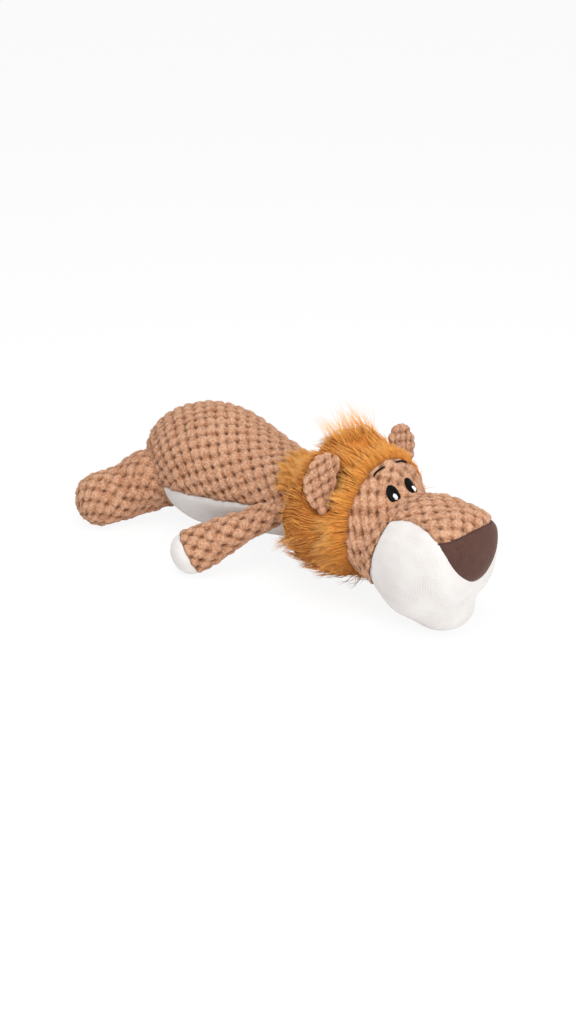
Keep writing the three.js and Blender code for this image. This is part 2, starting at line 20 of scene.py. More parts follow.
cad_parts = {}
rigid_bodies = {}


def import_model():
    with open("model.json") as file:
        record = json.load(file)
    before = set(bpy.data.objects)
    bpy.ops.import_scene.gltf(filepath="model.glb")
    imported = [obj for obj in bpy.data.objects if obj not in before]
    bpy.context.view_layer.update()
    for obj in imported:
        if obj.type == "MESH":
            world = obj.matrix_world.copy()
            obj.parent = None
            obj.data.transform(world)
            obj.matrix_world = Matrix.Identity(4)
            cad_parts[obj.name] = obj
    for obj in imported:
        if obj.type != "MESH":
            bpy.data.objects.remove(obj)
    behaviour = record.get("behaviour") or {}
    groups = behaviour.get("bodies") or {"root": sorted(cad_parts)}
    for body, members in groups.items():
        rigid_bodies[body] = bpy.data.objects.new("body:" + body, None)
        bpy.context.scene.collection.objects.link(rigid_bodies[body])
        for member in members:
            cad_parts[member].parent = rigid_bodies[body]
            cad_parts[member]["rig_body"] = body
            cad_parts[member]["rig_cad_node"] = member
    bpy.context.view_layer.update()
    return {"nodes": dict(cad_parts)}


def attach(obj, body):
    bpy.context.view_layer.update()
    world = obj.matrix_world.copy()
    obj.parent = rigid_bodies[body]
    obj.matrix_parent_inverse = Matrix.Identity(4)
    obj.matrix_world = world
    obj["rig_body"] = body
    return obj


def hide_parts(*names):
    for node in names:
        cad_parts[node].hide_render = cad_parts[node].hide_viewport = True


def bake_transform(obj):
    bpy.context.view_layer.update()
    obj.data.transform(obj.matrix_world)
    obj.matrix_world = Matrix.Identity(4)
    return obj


MM = 0.001
NECK_X = 5.4013
UP = Vector((0, 0, 1))
LEFTWARD = Vector((0, 1, 0))
SIDES = (("left", 1), ("right", -1))

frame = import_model()
scene = bpy.context.scene


def at(forward, side, height):
    """A place in metres, from millimetres ahead of the neck, to the left and above the floor."""
    return Vector(((forward + NECK_X) * MM, side * MM, height * MM))


def from_neck(points):
    """Places in metres turned back to millimetres ahead of the neck, to the left and above the floor."""
    return np.array(points) / MM - np.array([NECK_X, 0, 0])


def deselect():
    if bpy.context.mode != "OBJECT":
        bpy.ops.object.mode_set(mode="OBJECT")
    bpy.ops.object.select_all(action="DESELECT")


def choose(piece):
    """Makes one piece the selected and active one."""
    deselect()
    piece.select_set(True)
    bpy.context.view_layer.objects.active = piece


def edit_all(piece):
    """Opens a piece in edit mode with all of it selected."""
    choose(piece)
    bpy.ops.object.mode_set(mode="EDIT")
    bpy.ops.mesh.select_all(action="SELECT")


# %% [markdown]
# ## Camera and lamps
# The toy was photographed from its right front and from a little above, on white paper in even light. The
# camera could be matched by eye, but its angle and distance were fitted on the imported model, so they are
# written down here. Two broad lamps give soft light, and the pale world of the next step adds to it.

# %% Camera and lamps
scene.view_settings.view_transform = "Standard"
AZIMUTH = math.radians(46)
ELEVATION = math.radians(26)
DISTANCE = 1.128
target = Vector((-0.0126, 0, 0.0348))
toward = Vector(
    (
        math.sin(AZIMUTH) * math.cos(ELEVATION),
        -math.cos(AZIMUTH) * math.cos(ELEVATION),
        math.sin(ELEVATION),
    )
)
deselect()
bpy.ops.object.camera_add(location=target + toward * DISTANCE)
camera = bpy.context.active_object
camera.name = "camera"
camera.rotation_euler = toward.to_track_quat("Z", "Y").to_euler()
camera.data.lens = 50
camera.data.sensor_width = 36
scene.camera = camera


def soft_lamp(name, place, size, power):
    """A square lamp that faces the toy."""
    deselect()
    bpy.ops.object.light_add(type="AREA", location=place)
    lamp = bpy.context.active_object
    lamp.name = name
    lamp.rotation_euler = (Vector(place) - target).to_track_quat("Z", "Y").to_euler()
    lamp.data.size = size
    lamp.data.energy = power
    return lamp


soft_lamp("top_lamp", (0.25, -0.35, 1.5), 1.0, 16)
soft_lamp("front_lamp", (1.5, -0.4, 0.8), 0.9, 13)
print("camera looks from", [round(v, 3) for v in camera.location])


# %% [markdown]
# ## Shader maths as plain arithmetic
# A material is a tree of nodes. Wiring Math nodes by hand is slow to read, so one small class wraps a socket
# and lets `1 - hollow * 0.5` add the nodes by itself. Any other node comes from its `node` method.

# %% The yarn class
class Yarn:
    """One output socket of a material's tree."""

    def __init__(self, tree, socket=None):
        self.tree = tree
        self.socket = socket

    def node(self, kind, settings=None, inputs=None, out=0):
        made = self.tree.nodes.new(kind)
        for key, value in (settings or {}).items():
            if key == "stops":
                ramp = made.color_ramp.elements
                while len(ramp) < len(value):
                    ramp.new(0.5)
                for stop, (place, colour) in zip(ramp, value):
                    stop.position = place
                    stop.color = colour
            else:
                setattr(made, key, value)
        for key, value in (inputs or {}).items():
            if isinstance(value, Yarn):
                self.tree.links.new(value.socket, made.inputs[key])
            else:
                made.inputs[key].default_value = value
        return Yarn(self.tree, made.outputs[out])

    def maths(self, operation, first, second):
        return self.node("ShaderNodeMath", {"operation": operation}, {0: first, 1: second})

    def mix(self, share, first, second):
        """A colour between two colours."""
        return self.node(
            "ShaderNodeMix",
            {"data_type": "RGBA"},
            {0: share, 6: first, 7: second},
            out=2,
        )

    def __add__(self, other):
        return self.maths("ADD", self, other)

    def __radd__(self, other):
        return self.maths("ADD", other, self)

    def __sub__(self, other):
        return self.maths("SUBTRACT", self, other)

    def __rsub__(self, other):
        return self.maths("SUBTRACT", other, self)

    def __mul__(self, other):
        return self.maths("MULTIPLY", self, other)

    def __rmul__(self, other):
        return self.maths("MULTIPLY", other, self)


def colour(red, green, blue):
    """A colour as a screen shows it, 0 to 255, turned to the linear values that shaders use."""
    linear = []
    for value in (red, green, blue):
        share = value / 255
        linear.append(share / 12.92 if share < 0.04045 else ((share + 0.055) / 1.055) ** 2.4)
    return (*linear, 1)


def new_material(name, **finish):
    """A material with one Principled shader whose fixed values are set on its own sockets."""
    material = bpy.data.materials.new(name)
    material.use_nodes = True
    tree = material.node_tree
    shader = tree.nodes["Principled BSDF"]
    for key, value in finish.items():
        shader.inputs[key.replace("_", " ").title().replace("Ior", "IOR")].default_value = value
    return material, Yarn(tree), shader


def feed(yarn, shader, key, value):
    yarn.tree.links.new(value.socket, shader.inputs[key])


def noise(yarn, size_mm, detail=2.0, stretch=(1, 1, 1)):
    """Noise whose blobs are about this size, fixed to the piece."""
    place = yarn.node("ShaderNodeTexCoord", out="Object")
    place = yarn.node("ShaderNodeMapping", None, {"Vector": place, "Scale": stretch})
    return yarn.node(
        "ShaderNodeTexNoise",
        {"noise_dimensions": "3D"},
        {"Vector": place, "Scale": 1 / (size_mm * MM), "Detail": detail, "Roughness": 0.6},
    )


def value_of(yarn, name):
    """A number that the piece's mesh carries at each point."""
    return yarn.node("ShaderNodeAttribute", {"attribute_name": name}, out="Fac")


def bump(yarn, height, distance_mm, strength=1.0):
    return yarn.node(
        "ShaderNodeBump",
        None,
        {"Height": height, "Distance": distance_mm * MM, "Strength": strength},
    )


print("shader maths ready")

# %% [markdown]
# ## Floor and world
# A sheet of white paper is a plane. It could be lit until it burns out, but that would flood the toy with
# light. Instead most of what the camera sees of it is plain white, and the rest is shaded paper, so a faint
# contact shadow stays under the belly and legs.

# %% Floor and world
deselect()
bpy.ops.mesh.primitive_plane_add(size=8)
floor = bpy.context.active_object
floor.name = "paper_floor"
paper, yarn, shader = new_material("white_paper", base_color=colour(245, 245, 245), roughness=0.9)
seen = yarn.node("ShaderNodeLightPath", out="Is Camera Ray")
white = yarn.node("ShaderNodeEmission", None, {"Color": (1, 1, 1, 1), "Strength": 1.0})
shaded = Yarn(paper.node_tree, shader.outputs[0])
mixed = yarn.node("ShaderNodeMixShader", None, {0: seen * 0.9, 1: shaded, 2: white})
paper.node_tree.links.new(mixed.socket, paper.node_tree.nodes["Material Output"].inputs["Surface"])
floor.data.materials.append(paper)

world = bpy.data.worlds.new("white_room")
scene.world = world
world.use_nodes = True
sky = Yarn(world.node_tree)
path = world.node_tree.nodes.new("ShaderNodeLightPath")
straight = Yarn(world.node_tree, path.outputs["Is Camera Ray"])
mirrored = Yarn(world.node_tree, path.outputs["Is Glossy Ray"])
through = Yarn(world.node_tree, path.outputs["Is Transmission Ray"])
shown = sky.maths("MAXIMUM", straight, sky.maths("MAXIMUM", mirrored, through))
room = world.node_tree.nodes["Background"]
room.inputs["Color"].default_value = (1, 1, 1, 1)
world.node_tree.links.new((0.58 + shown * 0.42).socket, room.inputs["Strength"])
print("floor", floor.name, "and world", world.name)

# %% [markdown]
# ## Chenille knit
# Chenille yarn is thick and furry. Knitted, it makes soft lozenges with a hole at each corner, where the
# loops pull apart and shade falls. The relief is real geometry, made later with each panel. The material adds
# what is finer: the fluff on the yarn and a slow change of tone. It also paints shade into the holes, between
# the loops and along seams, where the mesh carries `hollow`, and paints light on the tops of the loops,
# from `swell`, which says how high on its loop a point is.

# %% Chenille material
# The first colour is painted light on the tops of the loops, the second is the yarn's own tan, and the third is
# painted shade in the holes.
TAN_LIT_TOP = colour(222, 177, 146)
TAN = colour(166, 108, 72)
TAN_HOLE_SHADE = colour(78, 43, 25)


def chenille_material(name, top, middle, hole):
    material, yarn, shader = new_material(
        name,
        roughness=0.95,
        sheen_weight=0.2,
        sheen_roughness=0.5,
        sheen_tint=colour(255, 226, 204),
        specular_ior_level=0.1,
    )
    slow = noise(yarn, 38, 2.0)
    fluff = noise(yarn, 1.8, 4.0)
    lint = noise(yarn, 0.75, 2.0)
    hollow = value_of(yarn, "hollow")
    swell = value_of(yarn, "swell")
    speckle = (fluff - 0.5) * 2.2 + (lint - 0.5) * 1.9
    # Lighter towards the top of each loop: painted light. The noise is the yarn's own fluff and tone.
    body = yarn.mix(swell * 0.45 + slow * 0.3 + speckle + 0.05, middle, top)
    # Darker in the holes, between the loops and at seams: painted shade.
    feed(yarn, shader, "Base Color", yarn.mix(hollow, body, hole))
    feed(yarn, shader, "Normal", bump(yarn, fluff + lint * 0.7, 1.6, 0.9))
    return material


tan_chenille = chenille_material("tan_chenille_knit", TAN_LIT_TOP, TAN, TAN_HOLE_SHADE)
print("material", tan_chenille.name)

# %% [markdown]
# ## Rib knit, velour, fur and thread
# The white panels are a fine rib, smooth between its grooves, with painted shade in the grooves and seams.
# The nose is brushed velour with a soft upright grain and painted shade at its edge. The fur's colour runs
# from painted shade at its root to painted light at its tip. Stitched eyes are satin thread, with a low gloss
# and painted shade between the threads. The grooves and threads come with each mesh as values named `groove`,
# `along` and `tone`.

# %% Other materials
def rib_material():
    material, yarn, shader = new_material(
        "fine_white_rib",
        roughness=0.9,
        sheen_weight=0.25,
        sheen_roughness=0.6,
        specular_ior_level=0.2,
    )
    groove = value_of(yarn, "groove")
    fluff = noise(yarn, 0.8, 3.0)
    slow = noise(yarn, 24, 2.0)
    cloth = yarn.mix(fluff * 0.6 + slow * 0.4, colour(205, 200, 197), colour(226, 223, 220))
    # Painted shade in the grooves and at seams and creases, which the mesh carries as groove; it fades in and
    # out in patches.
    patchy_shade = yarn.maths("MAXIMUM", noise(yarn, 17, 1.0) * 2.4 - 0.85, 0.12)
    feed(yarn, shader, "Base Color", yarn.mix(groove * patchy_shade * 0.5, cloth, colour(140, 131, 126)))
    feed(yarn, shader, "Normal", bump(yarn, fluff, 0.5, 0.6))
    return material


def velour_material():
    material, yarn, shader = new_material(
        "brushed_brown_velour",
        roughness=0.85,
        sheen_weight=0.35,
        sheen_roughness=0.4,
        sheen_tint=colour(220, 190, 176),
        specular_ior_level=0.2,
    )
    grain = noise(yarn, 1.2, 3.0, (1, 1, 0.28))
    cloud = noise(yarn, 9, 2.0)
    cloth = yarn.mix(grain * 0.8 + cloud * 0.5 - 0.15, colour(62, 39, 33), colour(92, 64, 56))
    # Painted shade round the edge of the nose, where it rolls into its seam.
    edge = value_of(yarn, "hollow")
    feed(yarn, shader, "Base Color", yarn.mix(edge * 0.6, cloth, colour(60, 38, 32)))
    feed(yarn, shader, "Normal", bump(yarn, grain, 0.5, 0.7))
    return material


def pile_ramp(yarn, root, middle, tip):
    """Colours of a fibre from its root to its tip: painted shade deep in the pile, painted light at the tip."""
    stops = [(0.0, root), (0.45, middle), (1.0, tip)]
    return yarn.node("ShaderNodeValToRGB", {"stops": stops}, {"Fac": value_of(yarn, "along")})


def fur_material():
    material, yarn, shader = new_material(
        "golden_faux_fur",
        roughness=0.55,
        sheen_weight=0.2,
        sheen_tint=colour(255, 220, 170),
        specular_ior_level=0.25,
    )
    # The dark roots are painted shade deep in the pile and the pale tips are painted light; the two ramps are
    # the fur's own tones, mixed by lock at random.
    dark = pile_ramp(yarn, colour(166, 94, 30), colour(226, 148, 60), colour(238, 174, 92))
    light = pile_ramp(yarn, colour(192, 116, 40), colour(242, 172, 82), colour(250, 206, 136))
    feed(yarn, shader, "Base Color", yarn.mix(value_of(yarn, "tone"), dark, light))
    return material


def backing_material():
    material, yarn, shader = new_material("knitted_fur_backing", roughness=0.95)
    grain = noise(yarn, 2.0, 3.0)
    feed(yarn, shader, "Base Color", yarn.mix(grain, colour(156, 88, 28), colour(200, 124, 48)))
    feed(yarn, shader, "Normal", bump(yarn, grain, 0.8, 0.8))
    return material


def thread_material(name, deep, bright, gloss):
    material, yarn, shader = new_material(name, roughness=0.45, specular_ior_level=gloss)
    groove = value_of(yarn, "groove")
    grain = noise(yarn, 0.7, 2.0)
    # Darker between the stitches and in the thread's twist: painted shade.
    feed(yarn, shader, "Base Color", yarn.mix(groove * 0.7 + grain * 0.2, bright, deep))
    feed(yarn, shader, "Roughness", 0.4 + groove * 0.35)
    return material


rib_knit = rib_material()
velour = velour_material()
golden_fur = fur_material()
fur_backing = backing_material()
black_thread = thread_material("black_satin_thread", colour(2, 2, 2), colour(10, 9, 9), 0.06)
white_thread = thread_material("white_satin_thread", colour(190, 188, 186), colour(246, 245, 243), 0.4)
made = (rib_knit, velour, golden_fur, fur_backing, black_thread, white_thread)
print("materials:", [material.name for material in made])

# %% [markdown]
# ## Wrapping the solids
# A stuffed toy is cloth round a filling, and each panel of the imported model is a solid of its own. To lay one
# cloth over several of them, they need one common skin. They could be joined by boolean cuts, but a voxel
# remesh is safer on thin panels that lie side by side, and it leaves even faces for what comes next.

# %% Wrapping the solids
def copy_of(name, nodes):
    """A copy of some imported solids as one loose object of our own."""
    deselect()
    for node in nodes:
        frame["nodes"][node].hide_set(False)
        frame["nodes"][node].select_set(True)
    bpy.context.view_layer.objects.active = frame["nodes"][nodes[0]]
    bpy.ops.object.duplicate()
    if len(nodes) > 1:
        bpy.ops.object.join()
    form = bpy.context.active_object
    bpy.ops.object.parent_clear(type="CLEAR_KEEP_TRANSFORM")
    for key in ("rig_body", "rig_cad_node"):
        if key in form:
            del form[key]
    form.name = name
    edit_all(form)
    bpy.ops.mesh.remove_doubles(threshold=0.00002)
    bpy.ops.object.mode_set(mode="OBJECT")
    return form


def apply_modifier(piece, name, kind, **settings):
    modifier = piece.modifiers.new(name, kind)
    for key, value in settings.items():
        setattr(modifier, key, value)
    choose(piece)
    bpy.ops.object.modifier_apply(modifier=modifier.name)


def points_of(piece, key="co"):
    values = np.empty(len(piece.data.vertices) * 3)
    piece.data.vertices.foreach_get(key, values)
    return values.reshape(-1, 3)


def set_points(piece, points):
    piece.data.vertices.foreach_set("co", np.ascontiguousarray(points, dtype=float).ravel())
    piece.data.update()


def facing_of(piece):
    return points_of(piece, "normal")


def wrapped(name, nodes, voxel_mm):
    """One closed outer skin round some solids."""
    form = copy_of(name, nodes)
    apply_modifier(form, "Wrap", "REMESH", mode="VOXEL", voxel_size=voxel_mm * MM)
    tip = int(np.argmax(points_of(form)[:, 0]))
    bpy.ops.object.mode_set(mode="EDIT")
    bpy.ops.mesh.select_all(action="DESELECT")
    bpy.ops.object.mode_set(mode="OBJECT")
    form.data.vertices[tip].select = True
    bpy.ops.object.mode_set(mode="EDIT")
    bpy.ops.mesh.select_linked()
    bpy.ops.mesh.select_all(action="INVERT")
    bpy.ops.mesh.delete(type="VERT")
    bpy.ops.object.mode_set(mode="OBJECT")
    apply_modifier(form, "Even", "SMOOTH", factor=0.5, iterations=3)
    return form


# %% [markdown]
# ## Filling
# The toy gets its shape from pressure: the cloth is filled until it is tight. The skin could be moved out
# along its normals, but then it would not pull at its seams. So it is shrunk a little, and Blender's Cloth
# blows it up again while its seams are held. The growth that all points share is taken off again, so the toy
# keeps its size. What comes out is a guide: panels are laid on it, and at the end the guides are deleted.

# %% Filling
CLOTH_STEPS = 20
SEAM_HOLD = 4


def filled(form, held, cap_mm=2.5):
    """Blows the skin up with Cloth. held says, in millimetres, how far each point is from a seam."""
    start = points_of(form)
    facing = facing_of(form)
    apply_modifier(form, "Shrink", "DISPLACE", strength=-1.5 * MM, mid_level=0.0)
    group = form.vertex_groups.new(name="seam")
    for index, distance in enumerate(held(start / MM)):
        if distance < SEAM_HOLD:
            group.add([index], 1.0 - distance / SEAM_HOLD, "REPLACE")
    choose(form)
    cloth = form.modifiers.new("Filling", "CLOTH")
    cloth.settings.use_pressure = True
    cloth.settings.uniform_pressure_force = 4
    cloth.settings.effector_weights.gravity = 0
    cloth.settings.vertex_group_mass = group.name
    cloth.settings.quality = 6
    cloth.point_cache.frame_start = 1
    cloth.point_cache.frame_end = CLOTH_STEPS
    for step in range(1, CLOTH_STEPS + 1):
        scene.frame_set(step)
    bpy.ops.object.modifier_apply(modifier=cloth.name)
    scene.frame_set(1)
    moved = points_of(form) - start
    grown = (moved * facing).sum(axis=1).mean()
    moved = moved - facing * grown
    length = np.linalg.norm(moved, axis=1, keepdims=True)
    moved *= np.minimum(1, cap_mm * MM / np.maximum(length, 1e-9))
    set_points(form, start + moved)
    apply_modifier(form, "Even again", "SMOOTH", factor=0.5, iterations=4)
    print(form.name, "filled; its cloth moved by", round(float(length.mean() / MM), 2), "mm")
    return form


# %% [markdown]
# ## Body and head forms
# The belly seam rises along the body, and the muzzle's seam leans. Below the muzzle, a chin is sewn in, and
# stuffing bridges the fold between the two. The jaw's lower corners are drawn in behind the chin. Sculpting
# would do this by eye; here smoothing with a weight fills the fold, and one soft move lifts the corners, so
# that both sides come out alike.

# %% Body and head forms
JAW_LIFT = 12.5
BELLY_REACH = 119
MOUTH_RISE = 28
MOUTH_RUN = 47
MOUTH_LENGTH = math.hypot(MOUTH_RISE, MOUTH_RUN)


def plumped(form, share, passes):
    """Stuffing fills the folds of a form where share is above 0, so points there move outwards only."""
    start = points_of(form)
    normals = facing_of(form)
    group = form.vertex_groups.new(name="fold")
    for index, weight in enumerate(share(from_neck(start))):
        if weight > 0.01:
            group.add([index], float(weight), "REPLACE")
    apply_modifier(form, "Fill folds", "SMOOTH", factor=0.5, iterations=passes, vertex_group=group.name)
    moved = np.maximum(((points_of(form) - start) * normals).sum(axis=1), 0)
    set_points(form, start + normals * moved[:, None])
    print(form.name, "folds filled by up to", round(float(moved.max() / MM), 1), "mm")
    return form


def smoothstep(low, high, values):
    """0 below low, 1 above high, and a soft rise between."""
    share = np.clip((values - low) / (high - low), 0, 1)
    return share * share * (3 - 2 * share)


def drawn_in(form):
    """Lifts the lower corners of the jaw, which the cloth draws in behind the chin."""
    points = points_of(form)
    place = from_neck(points)
    side = np.sign(place[:, 1])
    share = (1 - smoothstep(10, 48, place[:, 2])) * smoothstep(-4, 24, np.abs(place[:, 1]))
    share = share * (1 - smoothstep(100, 123, place[:, 0]))
    move = np.stack([0 * side, -0.35 * side, np.full(len(side), 0.94)], axis=1)
    set_points(form, points + move * (JAW_LIFT * MM * share)[:, None])
    return form


def surface_of(form):
    """A search tree of a form's skin, rounded by one subdivision, for rays to land on."""
    apply_modifier(form, "Round", "SUBSURF", levels=1, render_levels=1)
    tree = BVHTree.FromObject(form, bpy.context.evaluated_depsgraph_get())
    low = points_of(form).min(axis=0) / MM
    high = points_of(form).max(axis=0) / MM
    print(form.name, "spans", [round(v) for v in high - low], "mm")
    return tree


def belly_height(forward):
    """Height of the belly seam, in millimetres, at a distance ahead of the neck."""
    return 54 + forward * 15.5 / BELLY_REACH


def body_seam(points):
    return np.abs(points[:, 2] - belly_height(points[:, 0] - NECK_X))


def head_seam(points):
    return np.abs(points[:, 0] - NECK_X - 0.2 * points[:, 2] - 98.4)


def below_mouth(place):
    """How far below the seam between muzzle and chin a place is, in millimetres."""
    return (MOUTH_RISE * (place[..., 0] - 159) - MOUTH_RUN * (place[..., 2] - 28)) / MOUTH_LENGTH


def mouth_fold(place):
    """1 along the fold between muzzle and chin, less at the lips in front."""
    near = 1 - smoothstep(9, 18, np.abs(below_mouth(place)))
    return near * smoothstep(98, 106, place[..., 0]) * (1 - 0.8 * smoothstep(156, 167, place[..., 0]))


forms = []
body_form = filled(wrapped("body_guide", ["back_panel", "belly_panel", "body_stuffing"], 5), body_seam)
head_nodes = [
    "face_panel",
    "snout_bridge",
    "muzzle_panel",
    "chin_panel",
    "nose_panel",
    "mane_backing",
    "head_stuffing",
]
head_form = filled(wrapped("head_guide", head_nodes, 4), head_seam, 1.8)
head_form = drawn_in(plumped(head_form, mouth_fold, 50))
forms += [body_form, head_form]
body_skin = surface_of(body_form)
head_skin = surface_of(head_form)

# %% [markdown]
# ## Sleeves
# A knit panel has a direction: its rows run along the body. A remeshed skin has lost that, so each panel is
# a fresh sphere whose rings are slid along the limb and pushed out until they lie on the filled form. Rings
# and columns then follow the cloth's own rows. Projecting a pattern from outside would be less work, but it
# stretches wherever the form turns away.

# %% Sleeves
END_ROWS = 5


def reach(tree, inside, way):
    """Where a ray from far outside, towards a point inside, lands on the form."""
    way = way.normalized()
    hit = tree.ray_cast(inside + way * 0.3, -way)[0]
    return hit if hit is not None else inside


def unit(vectors):
    return vectors / np.maximum(np.linalg.norm(vectors, axis=-1, keepdims=True), 1e-12)


def eased(values, axis=0):
    """Every value drawn halfway to its two neighbours, round a closed ring."""
    return 0.5 * values + 0.25 * (np.roll(values, 1, axis) + np.roll(values, -1, axis))


def ease_rows(grid):
    """The same from row to row, where the first and the last row stay."""
    grid[1:-1] = 0.5 * grid[1:-1] + 0.25 * (grid[:-2] + grid[2:])


def eased_patch(grid, passes):
    """A grid eased along its rows and its columns, with its edges held."""
    for _ in range(passes):
        ease_rows(grid)
        ease_rows(grid.swapaxes(0, 1))
    return grid


def ring_rule(tree, first, last, up, round_start, round_end, lean):
    """Returns the function that places one point, for a share along the sleeve and an angle round it."""
    ahead = (last - first).normalized()
    up = (up - ahead * up.dot(ahead)).normalized()
    side = ahead.cross(up)
    start = 0.25 if round_start else 0.0
    stop = 0.75 if round_end else 1.0

    def place(share, angle):
        tilt = 0.0
        middle = (share - start) / (stop - start)
        if share < start:
            tilt = (share / start - 1) * math.pi / 2
            middle = 0.0
        elif share > stop:
            tilt = (share - stop) / (1 - stop) * math.pi / 2
            middle = 1.0
        slant = lean[0] + (lean[1] - lean[0]) * middle
        under = min(1.0, max(0.0, -math.cos(angle) / 0.6))
        bow = 0.45 * slant * under * under * (3 - 2 * under)
        flat = up * math.cos(angle) + side * math.sin(angle) + ahead * (slant * math.cos(angle) + bow)
        way = flat.normalized() * math.cos(tilt) + ahead * math.sin(tilt)
        return reach(tree, first.lerp(last, middle), way)

    return place, ahead


def even_shares(place, spacing_mm, angles):
    """Shares along the sleeve at which its rings lie evenly spaced on the cloth."""
    fine = np.linspace(0, 1, 161)
    length = np.zeros(161)
    for angle in angles:
        line = np.array([place(share, angle) for share in fine])
        length[1:] += np.cumsum(np.linalg.norm(np.diff(line, axis=0), axis=1)) / len(angles)
    rings = max(8, int(length[-1] / (spacing_mm * MM)))
    return np.interp(np.linspace(0, length[-1], rings + 1), length, fine)


def closed_end(ring, rows):
    """Rings that close a flat end towards its middle."""
    centre = ring.mean(axis=0)
    return [centre + (ring - centre) * (1 - k / rows) for k in range(1, rows + 1)]


def sleeve(name, tree, first, last, up, spacing_mm, round_start, round_end, lean=(0, 0), even=6, on=None):
    """A closed sphere laid round a form, with its fabric directions."""
    place, ahead = ring_rule(tree, first, last, up, round_start, round_end, lean)
    angles = (0.9, 2.0, -0.9, -2.0)
    shares = even_shares(place, spacing_mm[0], angles)
    girth = [np.array(place(0.5, k * math.pi / 30)) for k in range(61)]
    around = np.linalg.norm(np.diff(girth, axis=0), axis=1).sum()
    sides = int(around / (spacing_mm[1] * MM) / 2) * 2
    turn = np.arange(sides) * 2 * math.pi / sides
    rows = np.array([[place(share, angle) for angle in turn] for share in shares])
    for _ in range(even):
        ease_rows(rows)
        rows = eased(rows, 1)
    laid = list(rows)
    if on is not None:
        count = int(on.length / (spacing_mm[0] * MM))
        laid += [rows[-1] + np.array(on) * (k / count) for k in range(1, count + 1)]
    lead = 0
    if not round_start:
        lead = END_ROWS
        laid = closed_end(rows[0], END_ROWS)[::-1] + laid
    if not round_end:
        laid = laid + closed_end(laid[-1], END_ROWS)
    grid = np.array(laid)
    sheet = ball_sheet(name, grid, ahead)
    sheet.kept = (lead, lead + len(rows))
    return sheet


def ball_sheet(name, grid, ahead):
    """A sphere whose rings and columns take the rows and columns of a grid."""
    rings = len(grid) - 1
    sides = grid.shape[1]
    deselect()
    bpy.ops.mesh.primitive_uv_sphere_add(segments=sides, ring_count=rings, radius=1)
    piece = bpy.context.active_object
    piece.name = name
    ball = points_of(piece)
    row = np.rint(np.arccos(np.clip(ball[:, 2], -1, 1)) / math.pi * rings).astype(int)
    column = np.rint(np.arctan2(ball[:, 1], ball[:, 0]) / (2 * math.pi) * sides).astype(int) % sides
    sheet = SimpleNamespace(piece=piece, grid=grid, row=row, column=column, ahead=np.array(ahead))
    measure(sheet, True)
    return sheet


# %% [markdown]
# ## Measuring and settling the cloth
# A knit pattern needs to know how far each point is along and around the cloth, in millimetres, and which way
# it faces. A UV map could hold that, but only squeezed into a square. So it is added up along the rows and
# columns. The relief then moves each point along its normal, and what the material needs is stored with it.

# %% Measuring and settling the cloth
def measure(sheet, ring):
    """How far each point is along and around the cloth, in millimetres, and which way it faces."""
    grid = sheet.grid
    step = np.linalg.norm(np.diff(grid, axis=0), axis=2)
    sheet.along = np.vstack([np.zeros(grid.shape[1]), np.cumsum(step, axis=0)]) / MM
    if ring:
        half = grid.shape[1] // 2
        gap = np.linalg.norm(np.roll(grid, -1, axis=1) - grid, axis=2)
        right = np.cumsum(gap, axis=1) - gap
        left = np.cumsum(gap[:, ::-1], axis=1)[:, ::-1]
        sheet.around = np.where(np.arange(grid.shape[1]) <= half, right, -left) / MM
        across = np.roll(grid, -1, axis=1) - np.roll(grid, 1, axis=1)
    else:
        gap = np.linalg.norm(np.diff(grid, axis=1), axis=2)
        total = np.hstack([np.zeros((grid.shape[0], 1)), np.cumsum(gap, axis=1)])
        sheet.around = (total - total[:, -1:] / 2) / MM
        across = np.gradient(grid, axis=1)
    facing = unit(np.cross(np.gradient(grid, axis=0), across))
    centre = grid.mean(axis=1, keepdims=True)
    if ring:
        inward = (facing * (grid - centre)).sum(axis=2).mean() < 0
    else:
        inward = (facing.mean(axis=(0, 1)) * sheet.outward).sum() < 0
    sheet.facing = -facing if inward else facing
    flat = np.linalg.norm(sheet.facing, axis=2) < 0.5
    if ring:
        ends = np.where(np.arange(len(grid))[:, None] < len(grid) / 2, -1.0, 1.0)[..., None]
        sheet.facing = np.where(flat[..., None], ends * sheet.ahead, sheet.facing)
    sheet.place = from_neck(grid)


def off_floor(height_mm, place_mm, facing):
    """Relief that stops short of the floor where the cloth faces down."""
    down = np.clip(-facing[..., 2], 0.05, 1)
    room = (place_mm[..., 2] - 0.2) / down
    return np.where(facing[..., 2] < -0.3, np.minimum(height_mm, room), height_mm)


def give(piece, name, values):
    """Stores one number for each point of the mesh, for its material to read."""
    layer = piece.data.attributes.new(name, "FLOAT", "POINT")
    layer.data.foreach_set("value", np.ascontiguousarray(values, dtype=np.float32))


def outward_faces(piece):
    edit_all(piece)
    bpy.ops.mesh.normals_make_consistent(inside=False)
    bpy.ops.object.mode_set(mode="OBJECT")
    bpy.ops.object.shade_smooth()


def dressed(piece, material):
    """Gives a piece its material."""
    piece.data.materials.append(material)
    print(piece.name, len(piece.data.polygons), "faces")
    return piece


def lay_out(sheet, height_mm, values):
    """Moves the cloth out by its relief, and stores the values that its material reads."""
    grid = sheet.grid + sheet.facing * (height_mm * MM)[..., None]
    set_points(sheet.piece, grid[sheet.row, sheet.column])
    for name, value in values.items():
        give(sheet.piece, name, value[sheet.row, sheet.column])


def settle(sheet, height_mm, material, slot, **values):
    """Gives a closed piece its relief, its values and its material."""
    lay_out(sheet, height_mm, values)
    outward_faces(sheet.piece)
    return dressed(sheet.piece, material)


# %% [markdown]
# ## Patches
# A panel that covers only part of a form is a sheet with edges. It starts as a flat grid whose points are
# moved onto the form. Solidify then gives it a thickness, inwards, so that its outside stays on the form.

